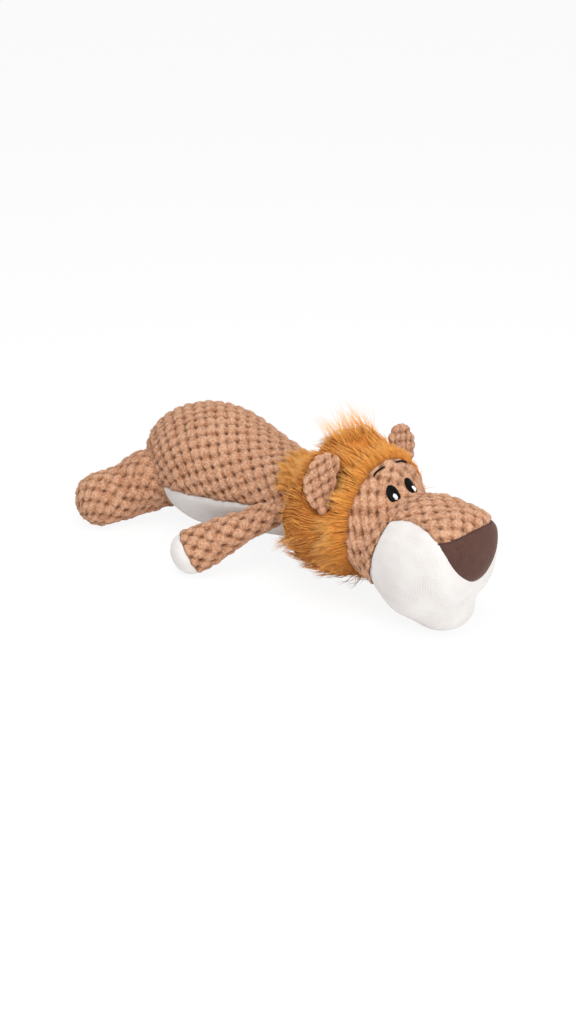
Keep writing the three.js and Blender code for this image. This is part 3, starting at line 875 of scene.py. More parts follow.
# %% Patches
def patch(name, grid, outward):
    """A sheet of cloth over part of a form; rows and columns as given."""
    rows, columns = grid.shape[:2]
    deselect()
    bpy.ops.mesh.primitive_grid_add(x_subdivisions=rows - 1, y_subdivisions=columns - 1, size=2)
    piece = bpy.context.active_object
    piece.name = name
    flat = points_of(piece)
    row = np.rint((flat[:, 0] + 1) / 2 * (rows - 1)).astype(int)
    column = np.rint((flat[:, 1] + 1) / 2 * (columns - 1)).astype(int)
    sheet = SimpleNamespace(piece=piece, grid=grid, row=row, column=column, outward=np.array(outward))
    measure(sheet, False)
    return sheet


def settle_patch(sheet, height_mm, thick_mm, material, slot, **values):
    """As settle, for a sheet: it also gets its thickness, inwards."""
    lay_out(sheet, height_mm, values)
    piece = sheet.piece
    if (facing_of(piece) * sheet.facing[sheet.row, sheet.column]).sum() < 0:
        edit_all(piece)
        bpy.ops.mesh.flip_normals()
        bpy.ops.object.mode_set(mode="OBJECT")
    apply_modifier(piece, "Cloth thickness", "SOLIDIFY", thickness=thick_mm * MM, offset=-1)
    bpy.ops.object.shade_smooth()
    return dressed(piece, material)


print("sleeves and patches ready")

# %% [markdown]
# ## The chenille relief
# The holes of the knit lie in rows along the cloth, 13.6 mm apart, and each row is shifted by half that from
# the next, 5.9 mm away. Between four holes a loop of fluffy yarn swells up. One function gives the height of
# that cloth and how deep in a hole each point is. A seeded table moves every hole a little, as in hand-fed
# yarn.

# %% Chenille relief
HOLES_ALONG = 13.6
HOLES_ACROSS = 5.9
LOOP_HEIGHT = 2.4


def lumps(shape, seed, size_mm):
    """Soft random lumps, as fluffy yarn has."""
    values = np.random.default_rng(seed).normal(0, 1, shape)
    for axis in (0, 1, 0, 1):
        values = eased(values, axis)
    return values * (size_mm / values.std())


def chenille_relief(along, across, seed):
    """Height of the knit in millimetres, and how far in a hole and how high on a loop each point is."""
    table = np.random.default_rng(seed).uniform(-1, 1, (64, 64, 4))
    along = along + 0.8 * np.sin(across / 17 + seed) + 0.6 * np.sin(along / 23 + 2 * seed)
    across = across + 0.7 * np.sin(along / 19 + seed) + 0.5 * np.sin(across / 29 + 3 * seed)
    first = along / HOLES_ALONG + across / (2 * HOLES_ACROSS)
    second = along / HOLES_ALONG - across / (2 * HOLES_ACROSS)
    near_first = np.rint(first).astype(int)
    near_second = np.rint(second).astype(int)
    luck = table[near_first % 64, near_second % 64]
    off_first = first - near_first
    off_second = second - near_second
    du = HOLES_ALONG * (off_first + off_second) / 2 + 0.8 * luck[..., 0]
    dv = HOLES_ACROSS * (off_first - off_second) + 0.5 * luck[..., 1]
    turn = 0.3 * luck[..., 2]
    slit = du * np.cos(turn) + dv * np.sin(turn)
    width = dv * np.cos(turn) - du * np.sin(turn)
    deep = 0.82 + 0.18 * luck[..., 3]
    hole = deep * np.exp(-(((slit / 2.4) ** 2 + (width / 1.35) ** 2) ** 1.5))
    swell_first = np.abs(np.sin(math.pi * first))
    swell_second = np.abs(np.sin(math.pi * second))
    loop = (swell_first * swell_second) ** 0.5
    valley = np.maximum((1 - swell_first) ** 4, (1 - swell_second) ** 4)
    rough = lumps(along.shape, seed + 1, 0.27)
    height = LOOP_HEIGHT * (0.72 * loop - 0.72 * hole - 0.2) + rough
    # How much painted shade a point gets: deep in a hole, and a little in the valleys between loops. The last
    # value, how high on its loop a point is, is lightened as painted light.
    hollow = np.clip(0.95 * hole + 0.09 * valley * (1 - hole), 0, 1)
    return height, hollow, np.clip(loop + rough, 0, 1)


# %% [markdown]
# ## Body
# The body is one long bag of chenille, closed at the rump, and the white belly panel is let into its
# underside. It could be cut as two flat panels and sewn by simulation, but the filled form already has that
# shape. So a sleeve is laid on the form, and where the belly goes it dives a little, which makes the seam.

# %% Body
def fading(distance_mm, width_mm):
    """1 at a seam, and less away from it, within about this width."""
    return np.exp(-((distance_mm / width_mm) ** 2))


def belly_inside(place):
    """How far inside the belly panel a point is, in millimetres; negative outside it."""
    low = belly_height(place[..., 0]) - place[..., 2]
    return np.minimum(low * 0.95, place[..., 0] + BELLY_REACH)


body = sleeve("body_back", body_skin, at(-112, 0, 50), at(8, 0, 52), UP, (1.05, 1.05), True, False)
relief, hollow, swell = chenille_relief(body.along, body.around, 3)
inside = belly_inside(body.place)
tuck = 2.4 * smoothstep(-2.0, 2.5, inside) + 0.9 * fading(inside + 1.0, 2.2)
# Painted shade along the belly seam, where the cloth tucks in.
seam_shade = 0.45 * fading(inside, 1.4)
body_back = settle(
    body,
    off_floor(relief - tuck, body.place, body.facing),
    tan_chenille,
    "tan_chenille",
    hollow=np.maximum(hollow, seam_shade),
    swell=swell,
)
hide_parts("back_panel", "body_stuffing")

# %% [markdown]
# ## Belly
# The belly is white rib knit with its ribs along the body. Stripes in the material alone would look printed,
# so each rib is a small swell of the mesh. It is a patch laid on the same form between the two belly seams,
# and its edges roll in to the seam.

# %% Belly
def seam_angle(tree, centre, height):
    """Angle from the top at which the form's near side comes down to a height."""
    angles = np.linspace(0.5, 2.9, 97)
    heights = []
    for angle in angles:
        way = Vector((0, math.sin(angle), math.cos(angle)))
        heights.append(reach(tree, centre, way).z)
    return float(np.interp(-height, -np.array(heights), angles))


def belly_grid(rows, columns):
    grid = np.zeros((rows, columns, 3))
    for i, forward in enumerate(np.linspace(-BELLY_REACH, 6, rows)):
        centre = at(forward, 0, 50)
        edge = seam_angle(body_skin, centre, belly_height(forward) * MM)
        for j, angle in enumerate(np.linspace(edge, 2 * math.pi - edge, columns)):
            grid[i, j] = reach(body_skin, centre, Vector((0, math.sin(angle), math.cos(angle))))
    return eased_patch(grid, 3)


def rib(distance_mm, pitch_mm):
    """Height of a rib from 0 to 1, and how deep in the groove beside it a point is."""
    wave = np.abs(np.cos(math.pi * distance_mm / pitch_mm))
    return wave**0.7, (1 - wave) ** 2


belly_sheet = patch("belly", belly_grid(52, 340), (0, 0, -1))
ridge, groove = rib(belly_sheet.around, 2.2)
inside = belly_inside(belly_sheet.place)
edge = np.exp(-(np.maximum(inside, 0) / 1.8))
height = off_floor(0.16 * ridge + 0.3 - 1.8 * edge, belly_sheet.place, belly_sheet.facing)
# The groove values also carry painted shade where the belly's edge rolls into its seam.
belly = settle_patch(
    belly_sheet, height, 1.6, rib_knit, "white_rib_knit", groove=np.maximum(groove, 0.8 * edge)
)
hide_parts("belly_panel")

# %% [markdown]
# ## Face
# The face is chenille too, but its rows run up and down. It could be a flat patch, but its edge has to meet
# the muzzle all round, so it is a sleeve from under the fur to the seam with the white muzzle. Its rings lean
# as that seam leans, so the last ring is the seam itself. Under the eyes the loops are pressed flat.

# %% Face
EYE_ASIDE = 9.6
EYE_HEIGHT = 93.4


def hairline(place):
    """How far ahead of the neck the fur stops, a little further at the cheeks than on the brow."""
    return 83.5 + 2.5 * np.abs(np.sin(np.arctan2(place[..., 1], place[..., 2] - 64)))


face_sheet = sleeve(
    "face", head_skin, at(78, 0, 62), at(110.4, 0, 60), UP, (1.05, 1.05), False, False, lean=(0, 0.2)
)
relief, hollow, swell = chenille_relief(face_sheet.around, face_sheet.along, 5)
to_seam = face_sheet.along[face_sheet.kept[1] - 1] - face_sheet.along
tuck = 1.7 * fading(np.maximum(to_seam, 0), 2.2)
eye_gap = np.abs(face_sheet.place[..., 1]) - EYE_ASIDE
from_eye = np.hypot(eye_gap / 6, (face_sheet.place[..., 2] - EYE_HEIGHT) / 9)
pressed = (1 - smoothstep(0.85, 1.25, from_eye)) * smoothstep(86, 90, face_sheet.place[..., 0])
shown = smoothstep(-2, 3, face_sheet.place[..., 0] - hairline(face_sheet.place))
relief = (relief * 0.9 + 1) * shown - 1
height = np.where(to_seam < 0, 0, relief * (1 - pressed) - 0.3 * pressed - tuck)
# Painted shade along the seam with the muzzle, on top of the chenille's.
face = settle(
    face_sheet,
    off_floor(height, face_sheet.place, face_sheet.facing),
    tan_chenille,
    "tan_chenille",
    hollow=np.maximum(hollow, 0.45 * fading(to_seam, 1.3)),
    swell=swell,
)
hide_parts("face_panel", "head_stuffing")

# %% [markdown]
# ## Muzzle
# The muzzle is one white panel wrapped round the snout, with fine ribs that run round it. A half sphere would
# be quick, but its rows would not follow the snout. So it is a sleeve with a round end whose rings lie on the
# ribs, about four rings to a rib. Under the bridge and the chin it dives, so that each sits in its own seam.

# %% Muzzle
RIB_PITCH = 1.9
STITCH_LENGTH = 1.9
BRIDGE_SEAM_FORWARD = (108, 116.7, 124, 131, 140, 149, 159, 172)
BRIDGE_SEAM_HEIGHT = (81.5, 84.5, 87.4, 88.6, 88.2, 86.4, 82.3, 79)


def above_bridge(place):
    """How far above the bridge seam a place is, in millimetres; the seam arches, then falls to the nose."""
    return place[..., 2] - np.interp(place[..., 0], BRIDGE_SEAM_FORWARD, BRIDGE_SEAM_HEIGHT)


def lip_crease(place):
    """1 in the crease between muzzle and chin, at the lips in front."""
    return fading(below_mouth(place), 1.6) * smoothstep(156, 168, place[..., 0])


def knit_rib(along, around):
    """Height and groove of a rib knit, with its stitches along each rib."""
    along = along + 0.35 * np.sin(around / 9) + 0.25 * np.sin(around / 3.7 + 1)
    ridge, groove = rib(along, RIB_PITCH)
    odd = np.rint(along / RIB_PITCH) % 2
    stitch = np.abs(np.cos(math.pi * (around / STITCH_LENGTH + 0.5 * odd)))
    return ridge * (0.7 + 0.3 * stitch), np.maximum(groove, 0.45 * (1 - stitch) ** 2)


muzzle_sheet = sleeve(
    "muzzle",
    head_skin,
    at(107, 0, 59.5),
    at(158, 0, 59),
    UP,
    (0.46, 0.75),
    False,
    True,
    lean=(0.2, 0),
    even=10,
)
level = muzzle_sheet.along.mean(axis=1, keepdims=True) + 0 * muzzle_sheet.along
ridge, groove = knit_rib(level, muzzle_sheet.around)
from_seam = muzzle_sheet.along - muzzle_sheet.along[muzzle_sheet.kept[0]]
bridge_in = above_bridge(muzzle_sheet.place)
chin_in = below_mouth(muzzle_sheet.place)
dive = 2.0 * (1 - smoothstep(0.5, 4.5, from_seam)) + 3.6 * smoothstep(-1.0, 2.5, bridge_in)
dive = dive + 2.4 * smoothstep(0.5, 4, chin_in)
height = off_floor(0.13 * ridge + 0.2 - dive, muzzle_sheet.place, muzzle_sheet.facing)
# Painted shade in the lip crease, along the seam with the face and along the bridge seam.
lips = 0.4 * lip_crease(muzzle_sheet.place)
dark = np.maximum(0.5 * fading(from_seam - 3.5, 1.5), lips)
dark = np.maximum(dark, 0.4 * fading(bridge_in, 1.4))
muzzle = settle(muzzle_sheet, height, rib_knit, "white_rib_knit", groove=np.maximum(groove, dark))
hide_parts("muzzle_panel")

# %% [markdown]
# ## Snout bridge
# A strip of chenille runs from between the eyes over the top of the muzzle to the nose. It could be cut out
# of the muzzle's own mesh, but its knit has other rows. So it is a patch with its two long edges on the
# bridge seam. Its last rows lean over the front of the snout and go under the nose.

# %% Snout bridge
NOSE_CORNER = (30.5, 82)


def bridge_way(slant, tilt, angle):
    flat = Vector((slant * math.cos(angle), math.sin(angle), math.cos(angle))).normalized()
    return flat * math.cos(tilt) + Vector((math.sin(tilt), 0, 0))


def bridge_grid(rows, columns):
    """Rows run forwards over the snout, and the last ones lean over its front, under the nose."""
    grid = np.zeros((rows, columns, 3))
    for i, forward in enumerate(np.linspace(108.5, 176, rows)):
        centre = at(min(forward, 158), 0, 60)
        tilt = 0.58 * max(0.0, forward - 158) / 18
        slant = 0.2 * max(0.0, 1 - (forward - 108.5) / 40)
        angles = np.linspace(0, 1.6, 121)
        above = []
        for angle in angles:
            hit = reach(head_skin, centre, bridge_way(slant, tilt, angle))
            above.append(float(above_bridge(from_neck(hit))))
        falling = np.minimum.accumulate(above)
        limit = float(np.interp(0.0, -falling, angles))
        for j, angle in enumerate(np.linspace(-limit, limit, columns)):
            grid[i, j] = reach(head_skin, centre, bridge_way(slant, tilt, angle))
    return eased_patch(grid, 4)


bridge_sheet = patch("snout_bridge_knit", bridge_grid(68, 84), (0, 0, 1))
relief, hollow, swell = chenille_relief(bridge_sheet.along, bridge_sheet.around, 8)
edge = fading(np.maximum(above_bridge(bridge_sheet.place), 0), 1.4)
edge = np.maximum(edge, fading(bridge_sheet.along, 2.0))
nose_top = NOSE_CORNER[1] + 4.5 * (1 - (bridge_sheet.place[..., 1] / NOSE_CORNER[0]) ** 2)
under_nose = smoothstep(-1.4, 1.2, nose_top - bridge_sheet.place[..., 2])
under_nose = under_nose * smoothstep(148, 156, bridge_sheet.place[..., 0])
height = np.maximum(relief * 0.9, -1.1) * (1 - edge) + 0.1 - 1.1 * edge
# Painted shade along the bridge seams, on top of the chenille's.
bridge = settle_patch(
    bridge_sheet,
    height * (1 - under_nose) - 2.2 * under_nose,
    1.6,
    tan_chenille,
    "tan_chenille",
    hollow=np.maximum(hollow, 0.4 * edge),
    swell=swell,
)
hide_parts("snout_bridge")

# %% [markdown]
# ## Chin
# The chin is a stuffed pad below the mouth, white like the muzzle, but its ribs run level. A sphere round a
# point inside it is pushed out to the form and stopped just above the mouth seam. Muzzle and chin overlap
# there, so the cloth runs on from one to the other, and only the lips in front have a crease.

# %% Chin
CHIN_SIDES = 220
CHIN_RINGS = 150
CHIN_OVERLAP = 3
chin_middle = at(148, 0, 14)


def chin_point(tilt, angle):
    way = Vector(
        (
            math.cos(tilt) * math.cos(angle),
            math.cos(tilt) * math.sin(angle),
            math.sin(tilt),
        )
    )
    hit = reach(head_skin, chin_middle, way)
    far = (hit - chin_middle).length
    slope = (MOUTH_RISE * way.x - MOUTH_RUN * way.z) / MOUTH_LENGTH
    gap = float(below_mouth(from_neck(chin_middle))) * MM
    if slope < 0:
        far = min(far, -(gap + CHIN_OVERLAP * MM) / slope)
    return chin_middle + way * far


tilts = np.linspace(math.pi / 2, -math.pi / 2, CHIN_RINGS + 1)
turns = np.arange(CHIN_SIDES) * 2 * math.pi / CHIN_SIDES
chin_grid = np.array([[chin_point(tilt, turn) for turn in turns] for tilt in tilts])
for _ in range(6):
    ease_rows(chin_grid)
    chin_grid = eased(chin_grid, 1)
chin_sheet = ball_sheet("chin", chin_grid, (0, 0, -1))
below = below_mouth(chin_sheet.place)
ridge, groove = knit_rib(chin_sheet.place[..., 2] * 1.08, chin_sheet.around)
crease = lip_crease(chin_sheet.place)
height = 0.13 * ridge - 0.7 + 0.9 * smoothstep(-1, 3, below) - 0.8 * crease
height = off_floor(height, chin_sheet.place, chin_sheet.facing)
# Painted shade in the lip crease, on top of the grooves.
chin = settle(chin_sheet, height, rib_knit, "white_rib_knit", groove=np.maximum(groove, 0.4 * crease))
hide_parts("chin_panel")

# %% [markdown]
# ## Nose
# The nose is a big rounded triangle of velour, sewn on and padded a little. A scaled ball would stand off the
# snout, so its outline is drawn as seen from the front and projected onto the snout, ring by ring from its
# middle to its edge, and puffed between.

# %% Nose
def curve_points(start, bend, end, count):
    share = np.linspace(0, 1, count, endpoint=False)[:, None]
    start, bend, end = (np.array(p, dtype=float) for p in (start, bend, end))
    return (1 - share) ** 2 * start + 2 * share * (1 - share) * bend + share**2 * end


far_corner = (-NOSE_CORNER[0], NOSE_CORNER[1])
nose_outline = np.vstack(
    [
        curve_points(far_corner, (-27, 60), (-7, 49), 60),
        curve_points((-7, 49), (0, 47), (7, 49), 20),
        curve_points((7, 49), (27, 60), NOSE_CORNER, 60),
        curve_points(NOSE_CORNER, (0, 91), far_corner, 80),
    ]
)
for _ in range(10):
    nose_outline = eased(nose_outline)


def laid_outline(tree, outline, middle, rings, start, across, up):
    """A closed outline, drawn flat before a form and pushed onto it, in rings from its middle outwards."""
    away = across.cross(up)
    grid = np.zeros((rings + 1, len(outline) + 1, 3))
    for i in range(rings + 1):
        ring = np.array(middle) + (outline - np.array(middle)) * (i / rings)
        for j in range(len(outline) + 1):
            a, b = ring[j % len(outline)]
            origin = start + across * (a * MM) + up * (b * MM)
            grid[i, j] = tree.ray_cast(origin, -away)[0]
    return grid


def closed_patch(piece):
    """Sews up the middle and the side where a round patch begins and ends."""
    edit_all(piece)
    bpy.ops.mesh.remove_doubles(threshold=0.00001)
    bpy.ops.mesh.normals_make_consistent(inside=False)
    bpy.ops.object.mode_set(mode="OBJECT")


def ring_shares(rings, sides):
    """How far each point of a round patch is on the way from its middle to its edge, 0 to 1."""
    return np.linspace(0, 1, rings + 1)[:, None] + np.zeros((1, sides + 1))


def round_patch(name, grid, outward, height, thick, material, slot, **values):
    """A patch whose rows are closed rings round its middle."""
    sheet = patch(name, grid, outward)
    facing = np.roll(grid, -1, axis=1) - np.roll(grid, 1, axis=1)
    facing[:, 0] = grid[:, 1] - grid[:, -2]
    facing[:, -1] = facing[:, 0]
    facing = unit(np.cross(np.gradient(grid, axis=0), facing))
    middle = facing[1].mean(axis=0)
    facing[0] = middle / np.linalg.norm(middle)
    if (facing.mean(axis=(0, 1)) * np.array(outward)).sum() < 0:
        facing = -facing
    sheet.facing = facing
    lay_out(sheet, height, values)
    low = grid + facing * ((height - thick) * MM)[..., None]
    under = sheet.piece.copy()
    under.data = sheet.piece.data.copy()
    bpy.context.collection.objects.link(under)
    set_points(under, low[sheet.row, sheet.column])
    deselect()
    under.select_set(True)
    sheet.piece.select_set(True)
    bpy.context.view_layer.objects.active = sheet.piece
    bpy.ops.object.join()
    piece = sheet.piece
    closed_patch(piece)
    bpy.ops.object.mode_set(mode="EDIT")
    bpy.ops.mesh.select_all(action="DESELECT")
    bpy.ops.mesh.select_non_manifold()
    bpy.ops.mesh.bridge_edge_loops()
    bpy.ops.mesh.select_all(action="SELECT")
    bpy.ops.mesh.normals_make_consistent(inside=False)
    bpy.ops.object.mode_set(mode="OBJECT")
    bpy.ops.object.shade_smooth()
    return dressed(piece, material)


NOSE_RINGS = 44
NOSE_MIDDLE = (0, 68)
NOSE_PUFF = 3.4
before_nose = Vector((0.4, 0, 0))
nose_grid = laid_outline(head_skin, nose_outline, NOSE_MIDDLE, NOSE_RINGS, before_nose, LEFTWARD, UP)
for _ in range(5):
    ease_rows(nose_grid)
share = ring_shares(NOSE_RINGS, len(nose_outline))
edge_mm = nose_grid[-1, :, 0] / MM
print("nose edge from", round(edge_mm.min(), 1), "to", round(edge_mm.max(), 1), "mm ahead")
# Painted shade on the nose's rolled rim.
nose = round_patch(
    "nose",
    nose_grid,
    (1, 0, 0),
    NOSE_PUFF * (1 - share**4) - 0.3,
    1.8,
    velour,
    "brown_velour",
    hollow=smoothstep(0.93, 1.0, share),
)
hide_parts("nose_panel")

# %% [markdown]
# ## Eyes
# The eyes are satin stitch: rows of thread laid side by side, a little proud of the knit, with a white
# highlight sewn on each. They could be painted on the face's material, but thread has an edge and a gloss of
# its own. So each is a round patch on the smooth head form, and presses the fluffy loops down.

# %% Eyes
EYE_RINGS = 16
EYE_SIDES = 56
EYE = {"drop": 0, "half_width": 4.7, "half_height": 7.4, "lift": 0.7, "pitch": 0.8}
GLINT = {"drop": 1.8, "half_width": 1.5, "half_height": 2.1, "lift": 1.6, "pitch": 0.6}


def oval(y, z, half_width, half_height, count):
    turn = np.arange(count) * 2 * math.pi / count
    return np.stack([y + half_width * np.cos(turn), z + half_height * np.sin(turn)], axis=1)


def eye_plane(sign):
    """The middle of an eye on the forehead, and the two directions of the cloth there."""
    facing = Vector((0.88, sign * 0.24, 0.44)).normalized()
    hit = head_skin.ray_cast(at(101, sign * EYE_ASIDE, EYE_HEIGHT) + facing * 0.03, -facing)[0]
    across = UP.cross(facing).normalized()
    up = (facing.cross(across) + across * (0.12 * sign)).normalized()
    return hit, up.cross(facing), up


def stitched_oval(node, sign, material, slot, drop, half_width, half_height, lift, pitch):
    centre, across, up = eye_plane(sign)
    away = across.cross(up)
    outline = oval(0, -drop, half_width, half_height, EYE_SIDES)
    start = centre + away * 0.012
    grid = laid_outline(head_skin, outline, (0, -drop), EYE_RINGS, start, across, up)
    proud = np.maximum((grid - np.array(centre)) @ np.array(away) - 1.2 * MM, 0)
    grid = grid - proud[..., None] * np.array(away)
    share = ring_shares(EYE_RINGS, EYE_SIDES)
    row = (grid - np.array(centre)) @ np.array(up + across * 0.35) / MM
    # The grooves between the threads get painted shade.
    swell, groove = rib(row, pitch)
    height = lift + 0.9 * (1 - share**3) + 0.12 * swell
    thick = 1.6 + lift * 0.6
    piece = round_patch(f"{node}_stitch", grid, tuple(away), height, thick, material, slot, groove=groove)
    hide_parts(node)
    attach(piece, "head")


for side, sign in SIDES:
    stitched_oval(f"eye_{side}", sign, black_thread, "black_thread", **EYE)
    stitched_oval(f"eye_glint_{side}", sign, white_thread, "white_thread", **GLINT)


# %% [markdown]
# ## Brows
# Each brow is one short line of twisted black thread above an eye. A curve with a bevel would give a plain
# round wire. So a sphere's rings are moved onto a path over the brow, thin at both ends, and the mesh carries
# the twist of the thread, into which the material paints shade.

# %% Brows
BROW_POINTS = 40
BROW_RADIUS = 0.65


def brow_path(sign, count):
    share = np.linspace(0, 1, count)
    y = sign * (5.4 + 12 * (1 - (1 - share) ** 1.5))
    z = 110.4 - 4.4 * share**2.6
    return y, z


def thread_tube(name, path, radii, sides, twist):
    """A tube along some points: a sphere's rings moved onto the path."""
    count = len(path)
    ahead = unit(np.gradient(path, axis=0))
    aside = unit(np.cross(ahead, np.array([0.9, 0.1, 0.42])))
    above = np.cross(aside, ahead)
    turn = np.arange(sides) * 2 * math.pi / sides
    rows = []
    for k in range(count):
        ring = np.cos(turn)[:, None] * aside[k] + np.sin(turn)[:, None] * above[k]
        rows.append(path[k] + ring * radii[k])
    rows.insert(0, np.repeat(path[:1], sides, axis=0))
    rows.append(np.repeat(path[-1:], sides, axis=0))
    grid = np.array(rows)
    sheet = ball_sheet(name, grid, path[-1] - path[0])
    piece = sheet.piece
    set_points(piece, grid[sheet.row, sheet.column])
    # Painted shade in the twist of the thread.
    wave = np.abs(np.sin(sheet.row * twist + sheet.column * 2 * math.pi / sides))
    give(piece, "groove", (1 - wave) ** 2)
    outward_faces(piece)
    return piece


for side, sign in SIDES:
    y, z = brow_path(sign, BROW_POINTS)
    path = []
    above = Vector((0.63, sign * 0.24, 0.73)).normalized()
    for k in range(BROW_POINTS):
        hit = head_skin.ray_cast(at(88.4, y[k], z[k]) + above * 0.03, -above)[0]
        path.append(np.array(hit + above * 0.0011))
    path = np.array(path)
    taper = (1 - np.abs(np.linspace(-1, 1, BROW_POINTS)) ** 4) ** 0.5
    radii = BROW_RADIUS * MM * taper + 0.0001
    brow = dressed(thread_tube(f"brow_{side}_stitch", path, radii, 12, 0.9), black_thread)
    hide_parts(f"brow_{side}")
    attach(brow, "head")

# %% [markdown]
# ## Ears
# Each ear is two layers of chenille sewn round their edge and turned, so it is a plump cupped leaf with a
# rounded rim. Two thin plates would leave a sharp edge. So its outline is drawn in the ear's own plane, which
# leans and sweeps back, and a sphere's rings run from the middle of its front, over the rim, to its back.

# %% Ears
EAR_LEAN = math.radians(33)
EAR_SWEEP = math.radians(22)
EAR_CUP = 0.006
EAR_HALF_THICKNESS = 3.3
ear_corners = [
    (16.5, 19.5),
    (20.8, 12),
    (20.8, 5),
    (17.5, 1),
    (-7.5, -3.3),
    (-17.7, -5),
    (-23, -2.7),
    (-19, 8),
    (-14, 17.8),
    (-6.8, 23),
    (3, 24),
    (11, 22.5),
]


def ear_frame(sign):
    """An ear's seam point, and its directions along the seam, out of the head and forwards."""
    along = Vector((0, -sign * math.sin(EAR_LEAN), math.cos(EAR_LEAN)))
    out = Vector((0, sign * math.cos(EAR_LEAN), math.sin(EAR_LEAN))) * math.cos(EAR_SWEEP)
    out = out - Vector((math.sin(EAR_SWEEP), 0, 0))
    fore = along.cross(out) * -sign
    return at(63, sign * 35.5, 97), along, out, fore


def closed_curve(corners, count, passes):
    """Evenly spaced points round some corners, with the corners rounded off."""
    ring = np.array(corners + corners[:1], dtype=float)
    length = np.append(0, np.cumsum(np.linalg.norm(np.diff(ring, axis=0), axis=1)))
    places = np.linspace(0, length[-1], count, endpoint=False)
    curve = np.stack([np.interp(places, length, ring[:, k]) for k in range(2)], axis=1)
    for _ in range(passes):
        curve = eased(curve)
    return curve


def ear(side, sign):
    seam, along, out, fore = ear_frame(sign)
    print("ear", side, "faces", [round(v, 2) for v in fore])
    outline = closed_curve(ear_corners, 100, 10)
    middle = np.array([0.0, 9.5])
    tilt = np.linspace(0, math.pi, 57)[:, None]
    flat = middle + (outline - middle)[None] * np.sin(tilt)[..., None]
    thick = EAR_HALF_THICKNESS * np.sign(np.cos(tilt)) * np.abs(np.cos(tilt)) ** 0.65
    bowl = EAR_CUP * flat[..., 1] ** 2 + 1.4 * np.sin(tilt) ** 4
    grid = np.array(seam) + flat[..., :1] * MM * np.array(along) + flat[..., 1:] * MM * np.array(out)
    grid = grid + (thick + bowl)[..., None] * MM * np.array(fore)
    sheet = ball_sheet(f"ear_{side}", grid, -fore)
    relief, hollow, swell = chenille_relief(flat[..., 0] * 1.2 + 4, flat[..., 1] * 1.2 + 2, 11 + sign)
    # The chenille's painted shade in the holes and painted light on the loops, a little weaker.
    leaf = settle(sheet, relief * 0.75, tan_chenille, "tan_chenille", hollow=hollow * 0.85, swell=swell)
    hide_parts(f"ear_{side}_front", f"ear_{side}_back")
    return leaf


ears = {side: ear(side, sign) for side, sign in SIDES}

# %% [markdown]
# ## Legs
# A leg is a stuffed sock of chenille with its rows along it. It could be one tube with a cap, but a real sock
# swells where it is filled. So each leg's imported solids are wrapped, filled and dressed as the body was. Its
# root goes into the body's side, where the seam is, and a hind leg's root widens there into a haunch.

# %% Legs
LEG_ENDS = {
    "front_leg": ((-10, 31, 46), (-46, 79, 16.6)),
    "hind_leg": ((-148, 42, 28), (-165, 78, 20.9)),
}
LEG_SPACING = 1.1


def leg_ends(pair, sign):
    """Root and tip of a leg, and the direction from one to the other."""
    root, tip = (at(forward, sign * side, height) for forward, side, height in LEG_ENDS[pair])
    return root, tip, (tip - root).normalized()


def leg_sheet(name, nodes, root, tip, whole_mm):
    """A leg's cloth, laid from its tip to where it is whole, and drawn straight on into the body."""
    axis = (tip - root).normalized()

    def leg_seam(points):
        gap = points * MM - np.array(root)
        return gap @ np.array(axis) / MM - 6

    form = filled(wrapped(f"{name}_guide", nodes, 3.5), leg_seam, 1.5)
    forms.append(form)
    tree = surface_of(form)
    whole = root + axis * whole_mm * MM
    on = axis * (-(whole_mm + 20) * MM)
    sheet = sleeve(name, tree, tip, whole, UP, (LEG_SPACING, LEG_SPACING), True, False, even=5, on=on)
    return sheet, tree


def haunch(sheet, root, axis):
    """Widens the root of a hind leg upwards and forwards, where it runs into the body's side."""
    gap = sheet.grid - np.array(root)
    along = gap @ np.array(axis)
    aside = gap - along[..., None] * np.array(axis)
    rise = np.clip(unit(aside) @ np.array([0.35, 0, 0.94]), 0, 1)
    rise = rise * np.minimum(1, np.linalg.norm(aside, axis=2) / (15 * MM))
    widen = 8.5 * MM * (1 - smoothstep(-2, 20, along / MM)) * rise
    sheet.grid = sheet.grid + unit(aside) * widen[..., None]
    measure(sheet, True)


def dressed_leg(name, sheet, seed, tuck, dark):
    """A leg's knit, tucked in and given painted shade where a seam runs."""
    relief, hollow, swell = chenille_relief(sheet.along, sheet.around, seed)
    height = off_floor(relief - tuck, sheet.place, sheet.facing)
    hollow = np.maximum(hollow, dark)
    leg = settle(sheet, height, tan_chenille, "tan_chenille", hollow=hollow, swell=swell)
    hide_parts(name, f"{name}_stuffing")
    return leg


# %% [markdown]
# ## Paws
# Each front leg ends in a smooth white sole that is sewn in. It is a round patch: rings from the tip of the
# paw out to the seam are pushed onto the filled leg, and the edge rolls in.

# %% Paws
PAW_RINGS = 26
PAW_TURNS = 64


def paw_grid(tree, tip, ahead, across):
    above = across.cross(ahead)
    grid = np.zeros((PAW_RINGS + 1, PAW_TURNS + 1, 3))
    for i in range(PAW_RINGS + 1):
        tilt = math.pi / 2 - (math.pi / 2 - 0.02) * i / PAW_RINGS
        for j in range(PAW_TURNS + 1):
            turn = 2 * math.pi * (j % PAW_TURNS) / PAW_TURNS
            flat = across * math.cos(turn) + above * math.sin(turn)
            grid[i, j] = reach(tree, tip, flat * math.cos(tilt) + ahead * math.sin(tilt))
    for _ in range(4):
        ease_rows(grid)
    return grid


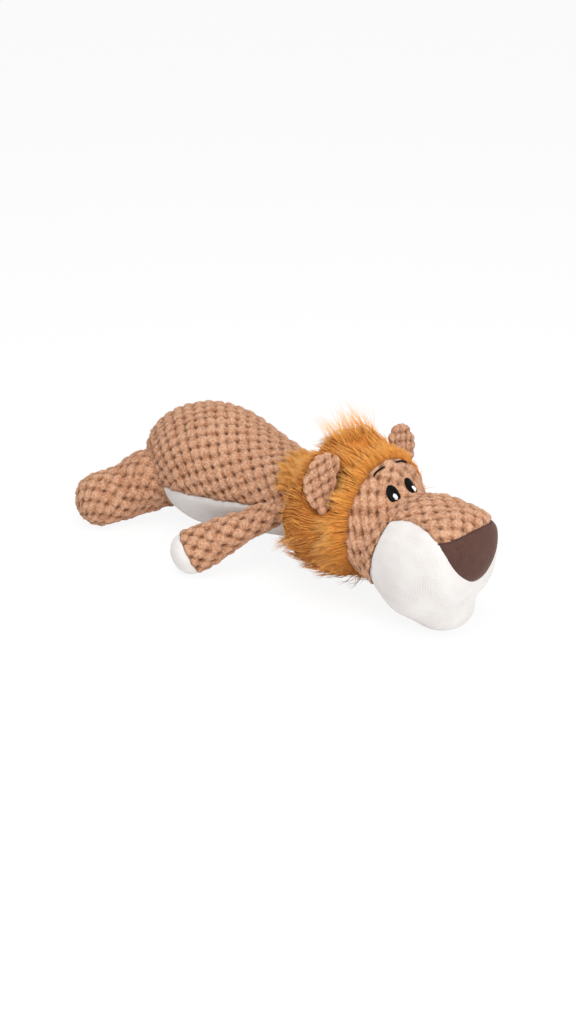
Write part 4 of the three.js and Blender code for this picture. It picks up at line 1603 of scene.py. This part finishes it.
def paw_sole(side, tree, tip, axis):
    ahead = Vector(axis)
    across = ahead.cross(UP).normalized()
    grid = paw_grid(tree, tip, ahead, across)
    share = ring_shares(PAW_RINGS, PAW_TURNS)
    ridge, groove = rib((grid - np.array(tip)) @ np.array(across) / MM, 1.6)
    height = 0.9 * (1 - share**6) - 0.5 + 0.08 * ridge
    height = off_floor(height, grid / MM, unit(grid - np.array(tip)))
    # Painted shade in the grooves and on the sole's rolled rim.
    groove = np.maximum(0.35 * groove, smoothstep(0.93, 1.0, share) * 0.7)
    name = f"front_paw_{side}"
    paw = round_patch(f"{name}_sole", grid, axis, height, 1.4, rib_knit, "white_rib_knit", groove=groove)
    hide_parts(name)
    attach(paw, f"front_leg_{side}")


legs = {}
for side, sign in SIDES:
    name = f"front_leg_{side}"
    root, tip, axis = leg_ends("front_leg", sign)
    axis = np.array(axis)
    sheet, tree = leg_sheet(f"{name}_knit", [name, f"front_paw_{side}", f"{name}_stuffing"], root, tip, 18)
    past = (sheet.grid - np.array(tip)) @ axis / MM - 0.5
    tuck = 2.0 * smoothstep(-1.5, 1.5, past)
    # Painted shade where the paw's sole is sewn on.
    dark = 0.5 * fading(past + 0.3, 1.2)
    legs[name] = dressed_leg(name, sheet, 20 + sign, tuck, dark)
    paw_sole(side, tree, tip, axis)

    name = f"hind_leg_{side}"
    root, tip, axis = leg_ends("hind_leg", sign)
    sheet, tree = leg_sheet(f"{name}_knit", [name, f"{name}_stuffing"], root, tip, 12)
    haunch(sheet, root, axis)
    legs[name] = dressed_leg(name, sheet, 30 + sign, 0, 0)

# %% [markdown]
# ## Mane backing
# Faux fur grows on a knitted backing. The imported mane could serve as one, but its surface is where the fur
# ends. So a sleeve is laid on it from the neck to the rim of the face and moved in by the depth of the pile.
# Its front rows come down onto the head, and the rows over the neck are bridged, so that no gap opens there.

# %% Mane backing
PILE_DEPTH = 6.5
NECK_ROWS = (2, 30)
mane_form = wrapped("mane_guide", ["mane_fur", "mane_backing", "head_stuffing", "body_stuffing"], 4)
forms.append(mane_form)
mane_skin = surface_of(mane_form)
rear, front = at(-3, 0, 54), at(84, 0, 64)
backing_sheet = sleeve("mane_backing_knit", mane_skin, rear, front, UP, (3, 3), False, False)
forward = backing_sheet.place[..., 0]
depth = PILE_DEPTH - 2.5 * smoothstep(20, 2, forward)
backing = backing_sheet.grid - backing_sheet.facing * (depth * MM)[..., None]
to_face = smoothstep(62, 80, forward)
first, last = backing_sheet.kept
for i, j in np.argwhere(to_face > 0):
    place = Vector(backing[i, j])
    centre = Vector((place.x, 0, 64 * MM))
    if i < last:
        on_head = reach(head_skin, centre, place - centre)
        backing[i, j] = place.lerp(centre.lerp(on_head, 0.96), to_face[i, j])
row_forward = forward[first:last].mean(axis=1)
behind = first + int(np.argmin(np.abs(row_forward - NECK_ROWS[0])))
before = first + int(np.argmin(np.abs(row_forward - NECK_ROWS[1])))
axis = np.array([0, 60 * MM])
for i in range(behind + 1, before):
    share = (i - behind) / (before - behind)
    line = backing[behind] * (1 - share) + backing[before] * share
    proud = np.linalg.norm(line[:, 1:] - axis, axis=1) > np.linalg.norm(backing[i][:, 1:] - axis, axis=1)
    proud = proud & (line[:, 2] > 20 * MM)
    backing[i] = np.where(proud[:, None], line, backing[i])
backing[last:] = closed_end(backing[last - 1], len(backing) - last)
backing_sheet.grid = backing
mane_backing = settle(backing_sheet, 0 * forward, fur_backing, "fur_backing")
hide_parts("mane_backing", "neck_stuffing")

# %% [markdown]
# ## One fibre and its roots
# The mane is thousands of fine fibres. Blender's own hair would not be kept in the model, so a fibre is
# modelled once, as a thin three-sided spike cut into four lengths, to be copied along many curves. Roots are
# scattered evenly over the backing, the rim of the face, and a short strip of the body behind the head.

# %% One fibre and its roots
def one_fibre():
    """A spike of unit length along Z, cut so that it can bend."""
    deselect()
    bpy.ops.mesh.primitive_cone_add(vertices=3, radius1=1, radius2=0, depth=1, location=(0, 0, 0.5))
    spike = bpy.context.active_object
    bpy.ops.object.transform_apply(location=True, rotation=True, scale=True)
    bpy.ops.object.mode_set(mode="EDIT")
    for cut in (0.3, 0.55, 0.8):
        bpy.ops.mesh.select_all(action="SELECT")
        bpy.ops.mesh.bisect(plane_co=(0, 0, cut), plane_no=(0, 0, 1))
    bpy.ops.object.mode_set(mode="OBJECT")
    points = points_of(spike)
    faces = [list(polygon.vertices) for polygon in spike.data.polygons]
    bpy.data.objects.remove(spike, do_unlink=True)
    return points, faces


def scatter(rows, facing, wanted, count, rng):
    """Random roots on a grid of cloth, even over its area where wanted is 1."""
    along = np.linalg.norm(np.diff(rows, axis=0), axis=2)
    around = np.linalg.norm(np.roll(rows, -1, axis=1) - rows, axis=2)[:-1]
    area = (along * around * wanted[:-1]).ravel()
    cell = rng.choice(len(area), count, p=area / area.sum())
    i, j = np.divmod(cell, rows.shape[1])
    k = (j + 1) % rows.shape[1]
    a = rng.random(count)[:, None]
    b = rng.random(count)[:, None]
    root = (rows[i, j] * (1 - b) + rows[i, k] * b) * (1 - a)
    root += (rows[i + 1, j] * (1 - b) + rows[i + 1, k] * b) * a
    return root, unit(facing[i, j] * (1 - a) + facing[i + 1, k] * a)


def backing_roots(count, rng, wanted):
    """Roots on the backing; wanted takes places in millimetres."""
    first, last = backing_sheet.kept
    share = wanted(backing_sheet.place[first:last])
    return scatter(backing_sheet.grid[first:last], backing_sheet.facing[first:last], share, count, rng)


def rim_roots(count, rng):
    """Roots on the edge of the face, up to the hairline."""
    first, last = face_sheet.kept
    place = face_sheet.place[first:last]
    share = (place[..., 0] < hairline(place)).astype(float)
    return scatter(face_sheet.grid[first:last], face_sheet.facing[first:last], share, count, rng)


def nape_roots(count, rng):
    """Roots on the body's own cloth behind the head, over its back."""
    first, last = body.kept
    place = body.place[first:last]
    share = smoothstep(-3, 5, place[..., 0]) * smoothstep(66, 86, place[..., 2])
    rows = body.grid[first:last] + body.facing[first:last] * 0.5 * MM
    return scatter(rows, body.facing[first:last], share, count, rng)


# %% [markdown]
# ## Lie of the fur
# The pile is swept back from the face and hangs at the sides, and a thin tuft stands up on the crown. Combing
# could be done by hand with guide hairs. Here a few directions on the cloth do it, and every fibre leans to
# the tip of its lock, which leaves the dark gaps that real fur shows.

# %% Lie of the fur
def tangent(way, normal):
    """A direction laid flat on the cloth."""
    way = np.array(way, dtype=float)
    return unit(way - normal * (normal @ way)[:, None])


def fibre_curves(root, normal, size, rng, shares):
    """Points along every fibre: swept back and a little down, and bent towards the cloth."""
    count = len(root)
    mm = from_neck(root)
    high = smoothstep(-0.2, 0.6, normal[:, 2])
    nape = smoothstep(42, 14, mm[:, 0])
    rim = smoothstep(74, 86, mm[:, 0])
    lift = 0.36 - 0.04 * rim - 0.1 * nape + rng.normal(0, 0.09, count)
    way = tangent((-1, 0, 0), normal) + 0.35 * (1 - high)[:, None] * tangent((0, 0, -1), normal)
    way = unit(way + normal * lift[:, None] + rng.normal(0, 0.09, (count, 3)))
    low = smoothstep(0.2, -0.6, normal[:, 2])
    length = (19 + 6 * nape * high + 4 * low) * size * rng.uniform(0.7, 1.2, count) * MM
    bend = normal * -0.28 + np.array([-0.05, 0, -0.1])
    s = shares[None, :, None]
    return root[:, None] + length[:, None, None] * (way[:, None] * s + bend[:, None] * s**2)


def tuft_curves(root, rng, shares):
    """Points along the thin fibres that stand up on the crown."""
    count = len(root)
    way = np.array([-0.55, 0, 1.0]) + rng.normal(0, 0.22, (count, 3)) * np.array([1, 1, 0.3])
    length = rng.uniform(15, 27, count) * MM
    room = TUFT_TOP * MM - root[:, 2]
    length = np.minimum(length, room / np.maximum(way[:, 2], 0.3))
    bend = np.array([-0.3, 0, -0.12])
    s = shares[None, :, None]
    return root[:, None] + length[:, None, None] * (unit(way)[:, None] * s + bend * s**2)


def gathered(curve, root, rng, shares, locks):
    """Pulls every fibre towards the middle of its lock, most at the tip."""
    leader = rng.choice(len(root), locks, replace=False)
    own = np.zeros(len(root), dtype=int)
    for start in range(0, len(root), 4000):
        gap = np.linalg.norm(root[start : start + 4000, None] - root[leader][None], axis=2)
        own[start : start + 4000] = gap.argmin(axis=1)
    pull = rng.uniform(0.25, 0.7, len(root))[:, None, None] * (shares**1.4)[None, :, None]
    stray = rng.normal(0, 2.2 * MM, (locks, 3))[own][:, None] * (shares**2)[None, :, None]
    return curve + (curve[leader][own] - curve) * pull + stray, own


def fur_piece(name, curve, tone, width, base, faces):
    """One mesh of many fibres."""
    shares = curve.shape[1]
    ahead = unit(np.gradient(curve, axis=1))
    aside = unit(np.cross(ahead, np.array([0.35, 0.2, 0.9])))
    above = np.cross(aside, ahead)
    level = np.rint(np.interp(base[:, 2], LEVELS, np.arange(shares))).astype(int)
    spread = base[:, :1][None] * aside[:, level] + base[:, 1:2][None] * above[:, level]
    points = curve[:, level] + spread * width[:, None, None]
    count = len(curve)
    shift = np.arange(count)[:, None] * len(base)
    rows = []
    for face in faces:
        rows.extend((np.array(face)[None] + shift).tolist())
    mesh = bpy.data.meshes.new(name)
    mesh.from_pydata(points.reshape(-1, 3).tolist(), [], rows)
    piece = bpy.data.objects.new(name, mesh)
    bpy.context.collection.objects.link(piece)
    give(piece, "along", np.tile(base[:, 2], count))
    give(piece, "tone", np.repeat(tone, len(base)))
    piece.data.materials.append(golden_fur)
    mesh.polygons.foreach_set("use_smooth", np.ones(len(mesh.polygons), dtype=bool))
    mesh.update()
    print(name, count, "fibres,", len(mesh.polygons), "faces")
    return piece


# %% [markdown]
# ## Growing the mane
# Fibres that touch an ear are left out. Those that would reach a front leg when the neck turns are shortened,
# and left out where that is not enough. The rest are joined into six pieces round the head, which keeps each
# mesh small enough to handle.

# %% Growing the mane
def touching(curve, piece, margin_mm):
    """Which fibres come within a margin of a piece."""
    tree = BVHTree.FromObject(piece, bpy.context.evaluated_depsgraph_get())
    margin = margin_mm * MM
    low = points_of(piece).min(axis=0) - margin
    high = points_of(piece).max(axis=0) + margin
    close = ((curve > low) & (curve < high)).all(axis=2).any(axis=1)
    touches = np.zeros(len(curve), dtype=bool)
    for index in np.flatnonzero(close):
        gaps = [tree.find_nearest(Vector(point), margin)[0] for point in curve[index]]
        touches[index] = any(gap is not None for gap in gaps)
    return touches


def turned(curve, degrees):
    """The fibres where they come to when the neck turns."""
    centre = np.array([NECK_X * MM, 0, 0])
    turn = Matrix.Rotation(math.radians(degrees), 3, "Z")
    return (curve - centre) @ np.array(turn).T + centre


LEVELS = np.array([0, 0.3, 0.55, 0.8, 1.0])
COAT_FIBRES = 28000
NAPE_FIBRES = 4500
RIM_FIBRES = 5000
TUFT_FIBRES = 450
LOCKS = 1100
TUFT_LOCKS = 40
TUFT_TOP = 143
NECK_TURN = 12
EAR_GAP = 1.6
LEG_GAP = 3
LEAST_LEG_GAP = 2
FLOOR_GAP = 1.2
TRIMMED = 0.6


def everywhere(place):
    return np.ones(place.shape[:2])


def crown(place):
    forward, side, height = np.moveaxis(place, -1, 0)
    return ((forward > 38) & (forward < 64) & (np.abs(side) < 22)) * (height > 80)


rng = np.random.default_rng(41)
fibre_points, fibre_faces = one_fibre()
coat_root, coat_normal = backing_roots(COAT_FIBRES, rng, everywhere)
rim_root, rim_normal = rim_roots(RIM_FIBRES, rng)
tuft_root, _ = backing_roots(TUFT_FIBRES, rng, crown)
nape_root, nape_normal = nape_roots(NAPE_FIBRES, rng)
roots = np.vstack([coat_root, rim_root, nape_root])
fullness = np.concatenate(
    [
        np.ones(COAT_FIBRES),
        rng.uniform(0.75, 1.25, RIM_FIBRES),
        0.4 + 0.5 * smoothstep(76, 94, nape_root[:, 2] / MM),
    ]
)
normals = np.vstack([coat_normal, rim_normal, nape_normal])
curves = fibre_curves(roots, normals, fullness, rng, LEVELS)
curves, lock = gathered(curves, roots, rng, LEVELS, LOCKS)
lock_tone = rng.uniform(0.2, 0.8, LOCKS)
tones = np.clip(0.6 * lock_tone[lock] + 0.4 * rng.random(len(roots)), 0, 1)
widths = rng.uniform(0.24, 0.38, len(roots)) * MM
tuft = tuft_curves(tuft_root, rng, LEVELS)
tuft, _ = gathered(tuft, tuft_root, rng, LEVELS, TUFT_LOCKS)
roots = np.vstack([roots, tuft_root])
curves = np.concatenate([curves, tuft])
# The thin tuft takes the palest tone: painted light through its thin fibres.
tones = np.append(tones, np.full(TUFT_FIBRES, 1.0))
widths = np.append(widths, rng.uniform(0.14, 0.22, TUFT_FIBRES) * MM)
curves[..., 2] = np.maximum(curves[..., 2], FLOOR_GAP * MM)

clear = np.ones(len(roots), dtype=bool)
for leaf in ears.values():
    clear &= ~touching(curves, leaf, EAR_GAP)
for name, degrees in itertools.product(("front_leg_left", "front_leg_right"), (-NECK_TURN, NECK_TURN)):
    hit = touching(turned(curves, degrees), legs[name], LEG_GAP)
    foot = roots[hit][:, None]
    curves[hit] = foot + (curves[hit] - foot) * TRIMMED
    still = touching(turned(curves, degrees), legs[name], LEAST_LEG_GAP)
    clear &= ~still
    print("fibres by", name, "at", degrees, "degrees:", hit.sum(), "shortened,", still.sum(), "left out")
chosen = np.flatnonzero(clear)
print("fibres kept:", len(chosen), "of", len(roots))

fur_pieces = []
round_head = np.argsort(np.arctan2(roots[chosen, 1], roots[chosen, 2] - 0.06))
sectors = ("low_right", "right", "high_right", "high_left", "left", "low_left")
for part, order in zip(sectors, np.array_split(round_head, len(sectors))):
    pick = chosen[order]
    name = f"mane_fur_{part}"
    piece = fur_piece(name, curves[pick], tones[pick], widths[pick], fibre_points, fibre_faces)
    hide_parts("mane_fur")
    fur_pieces.append(piece)

# %% [markdown]
# ## Squeaker
# The squeaker is inside the stuffing and only seen when the toy is taken apart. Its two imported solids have
# the right shape, so they stay and get a plastic finish: a soft milky bulb, and a harder reed.

# %% Squeaker
def plastic(name, shade, deep, rough):
    material, yarn, shader = new_material(
        name,
        subsurface_weight=0.15,
        subsurface_radius=(0.003, 0.003, 0.003),
    )
    cloud = noise(yarn, 6, 3.0)
    fine = noise(yarn, 0.8, 2.0)
    feed(yarn, shader, "Base Color", yarn.mix(cloud, deep, shade))
    feed(yarn, shader, "Roughness", rough + fine * 0.2)
    feed(yarn, shader, "Normal", bump(yarn, fine, 0.1, 0.4))
    return material


bulb_plastic = plastic("milky_plastic", colour(236, 234, 226), colour(214, 211, 202), 0.3)
reed_plastic = plastic("hard_reed_plastic", colour(196, 206, 214), colour(172, 184, 194), 0.25)
for node, material in (("squeaker_bulb", bulb_plastic), ("squeaker_reed", reed_plastic)):
    part = frame["nodes"][node]
    part.data.materials.clear()
    part.data.materials.append(material)
    print(node, "takes", material.name)

# %% [markdown]
# ## Riding the joints
# The face, muzzle, bridge, chin and nose ride on the head. The body, belly, mane, ears and legs have their
# places baked into their meshes.

# %% Riding the joints
for piece in (body_back, belly):
    at(-45, 0, 50)
    at(-5, 0, 50)
    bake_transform(piece)
for piece in (face, muzzle, bridge, chin, nose):
    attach(piece, "head")
for piece in [mane_backing] + fur_pieces:
    at(2, 0, 60)
    at(40, 0, 60)
    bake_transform(piece)
for side, sign in SIDES:
    seam, along, out, fore = ear_frame(sign)
    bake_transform(ears[side])
    for pair in LEG_ENDS:
        name = f"{pair}_{side}"
        root, tip, way = leg_ends(pair, sign)
        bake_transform(legs[name])
print("bending at their seams:", len(legs), "legs and", len(ears), "ears")

# %% [markdown]
# ## Finishing
# The guides have done their work and go. Cloth may only stand a little proud of the imported model.

# %% Finishing
for form in forms:
    bpy.data.objects.remove(form, do_unlink=True)
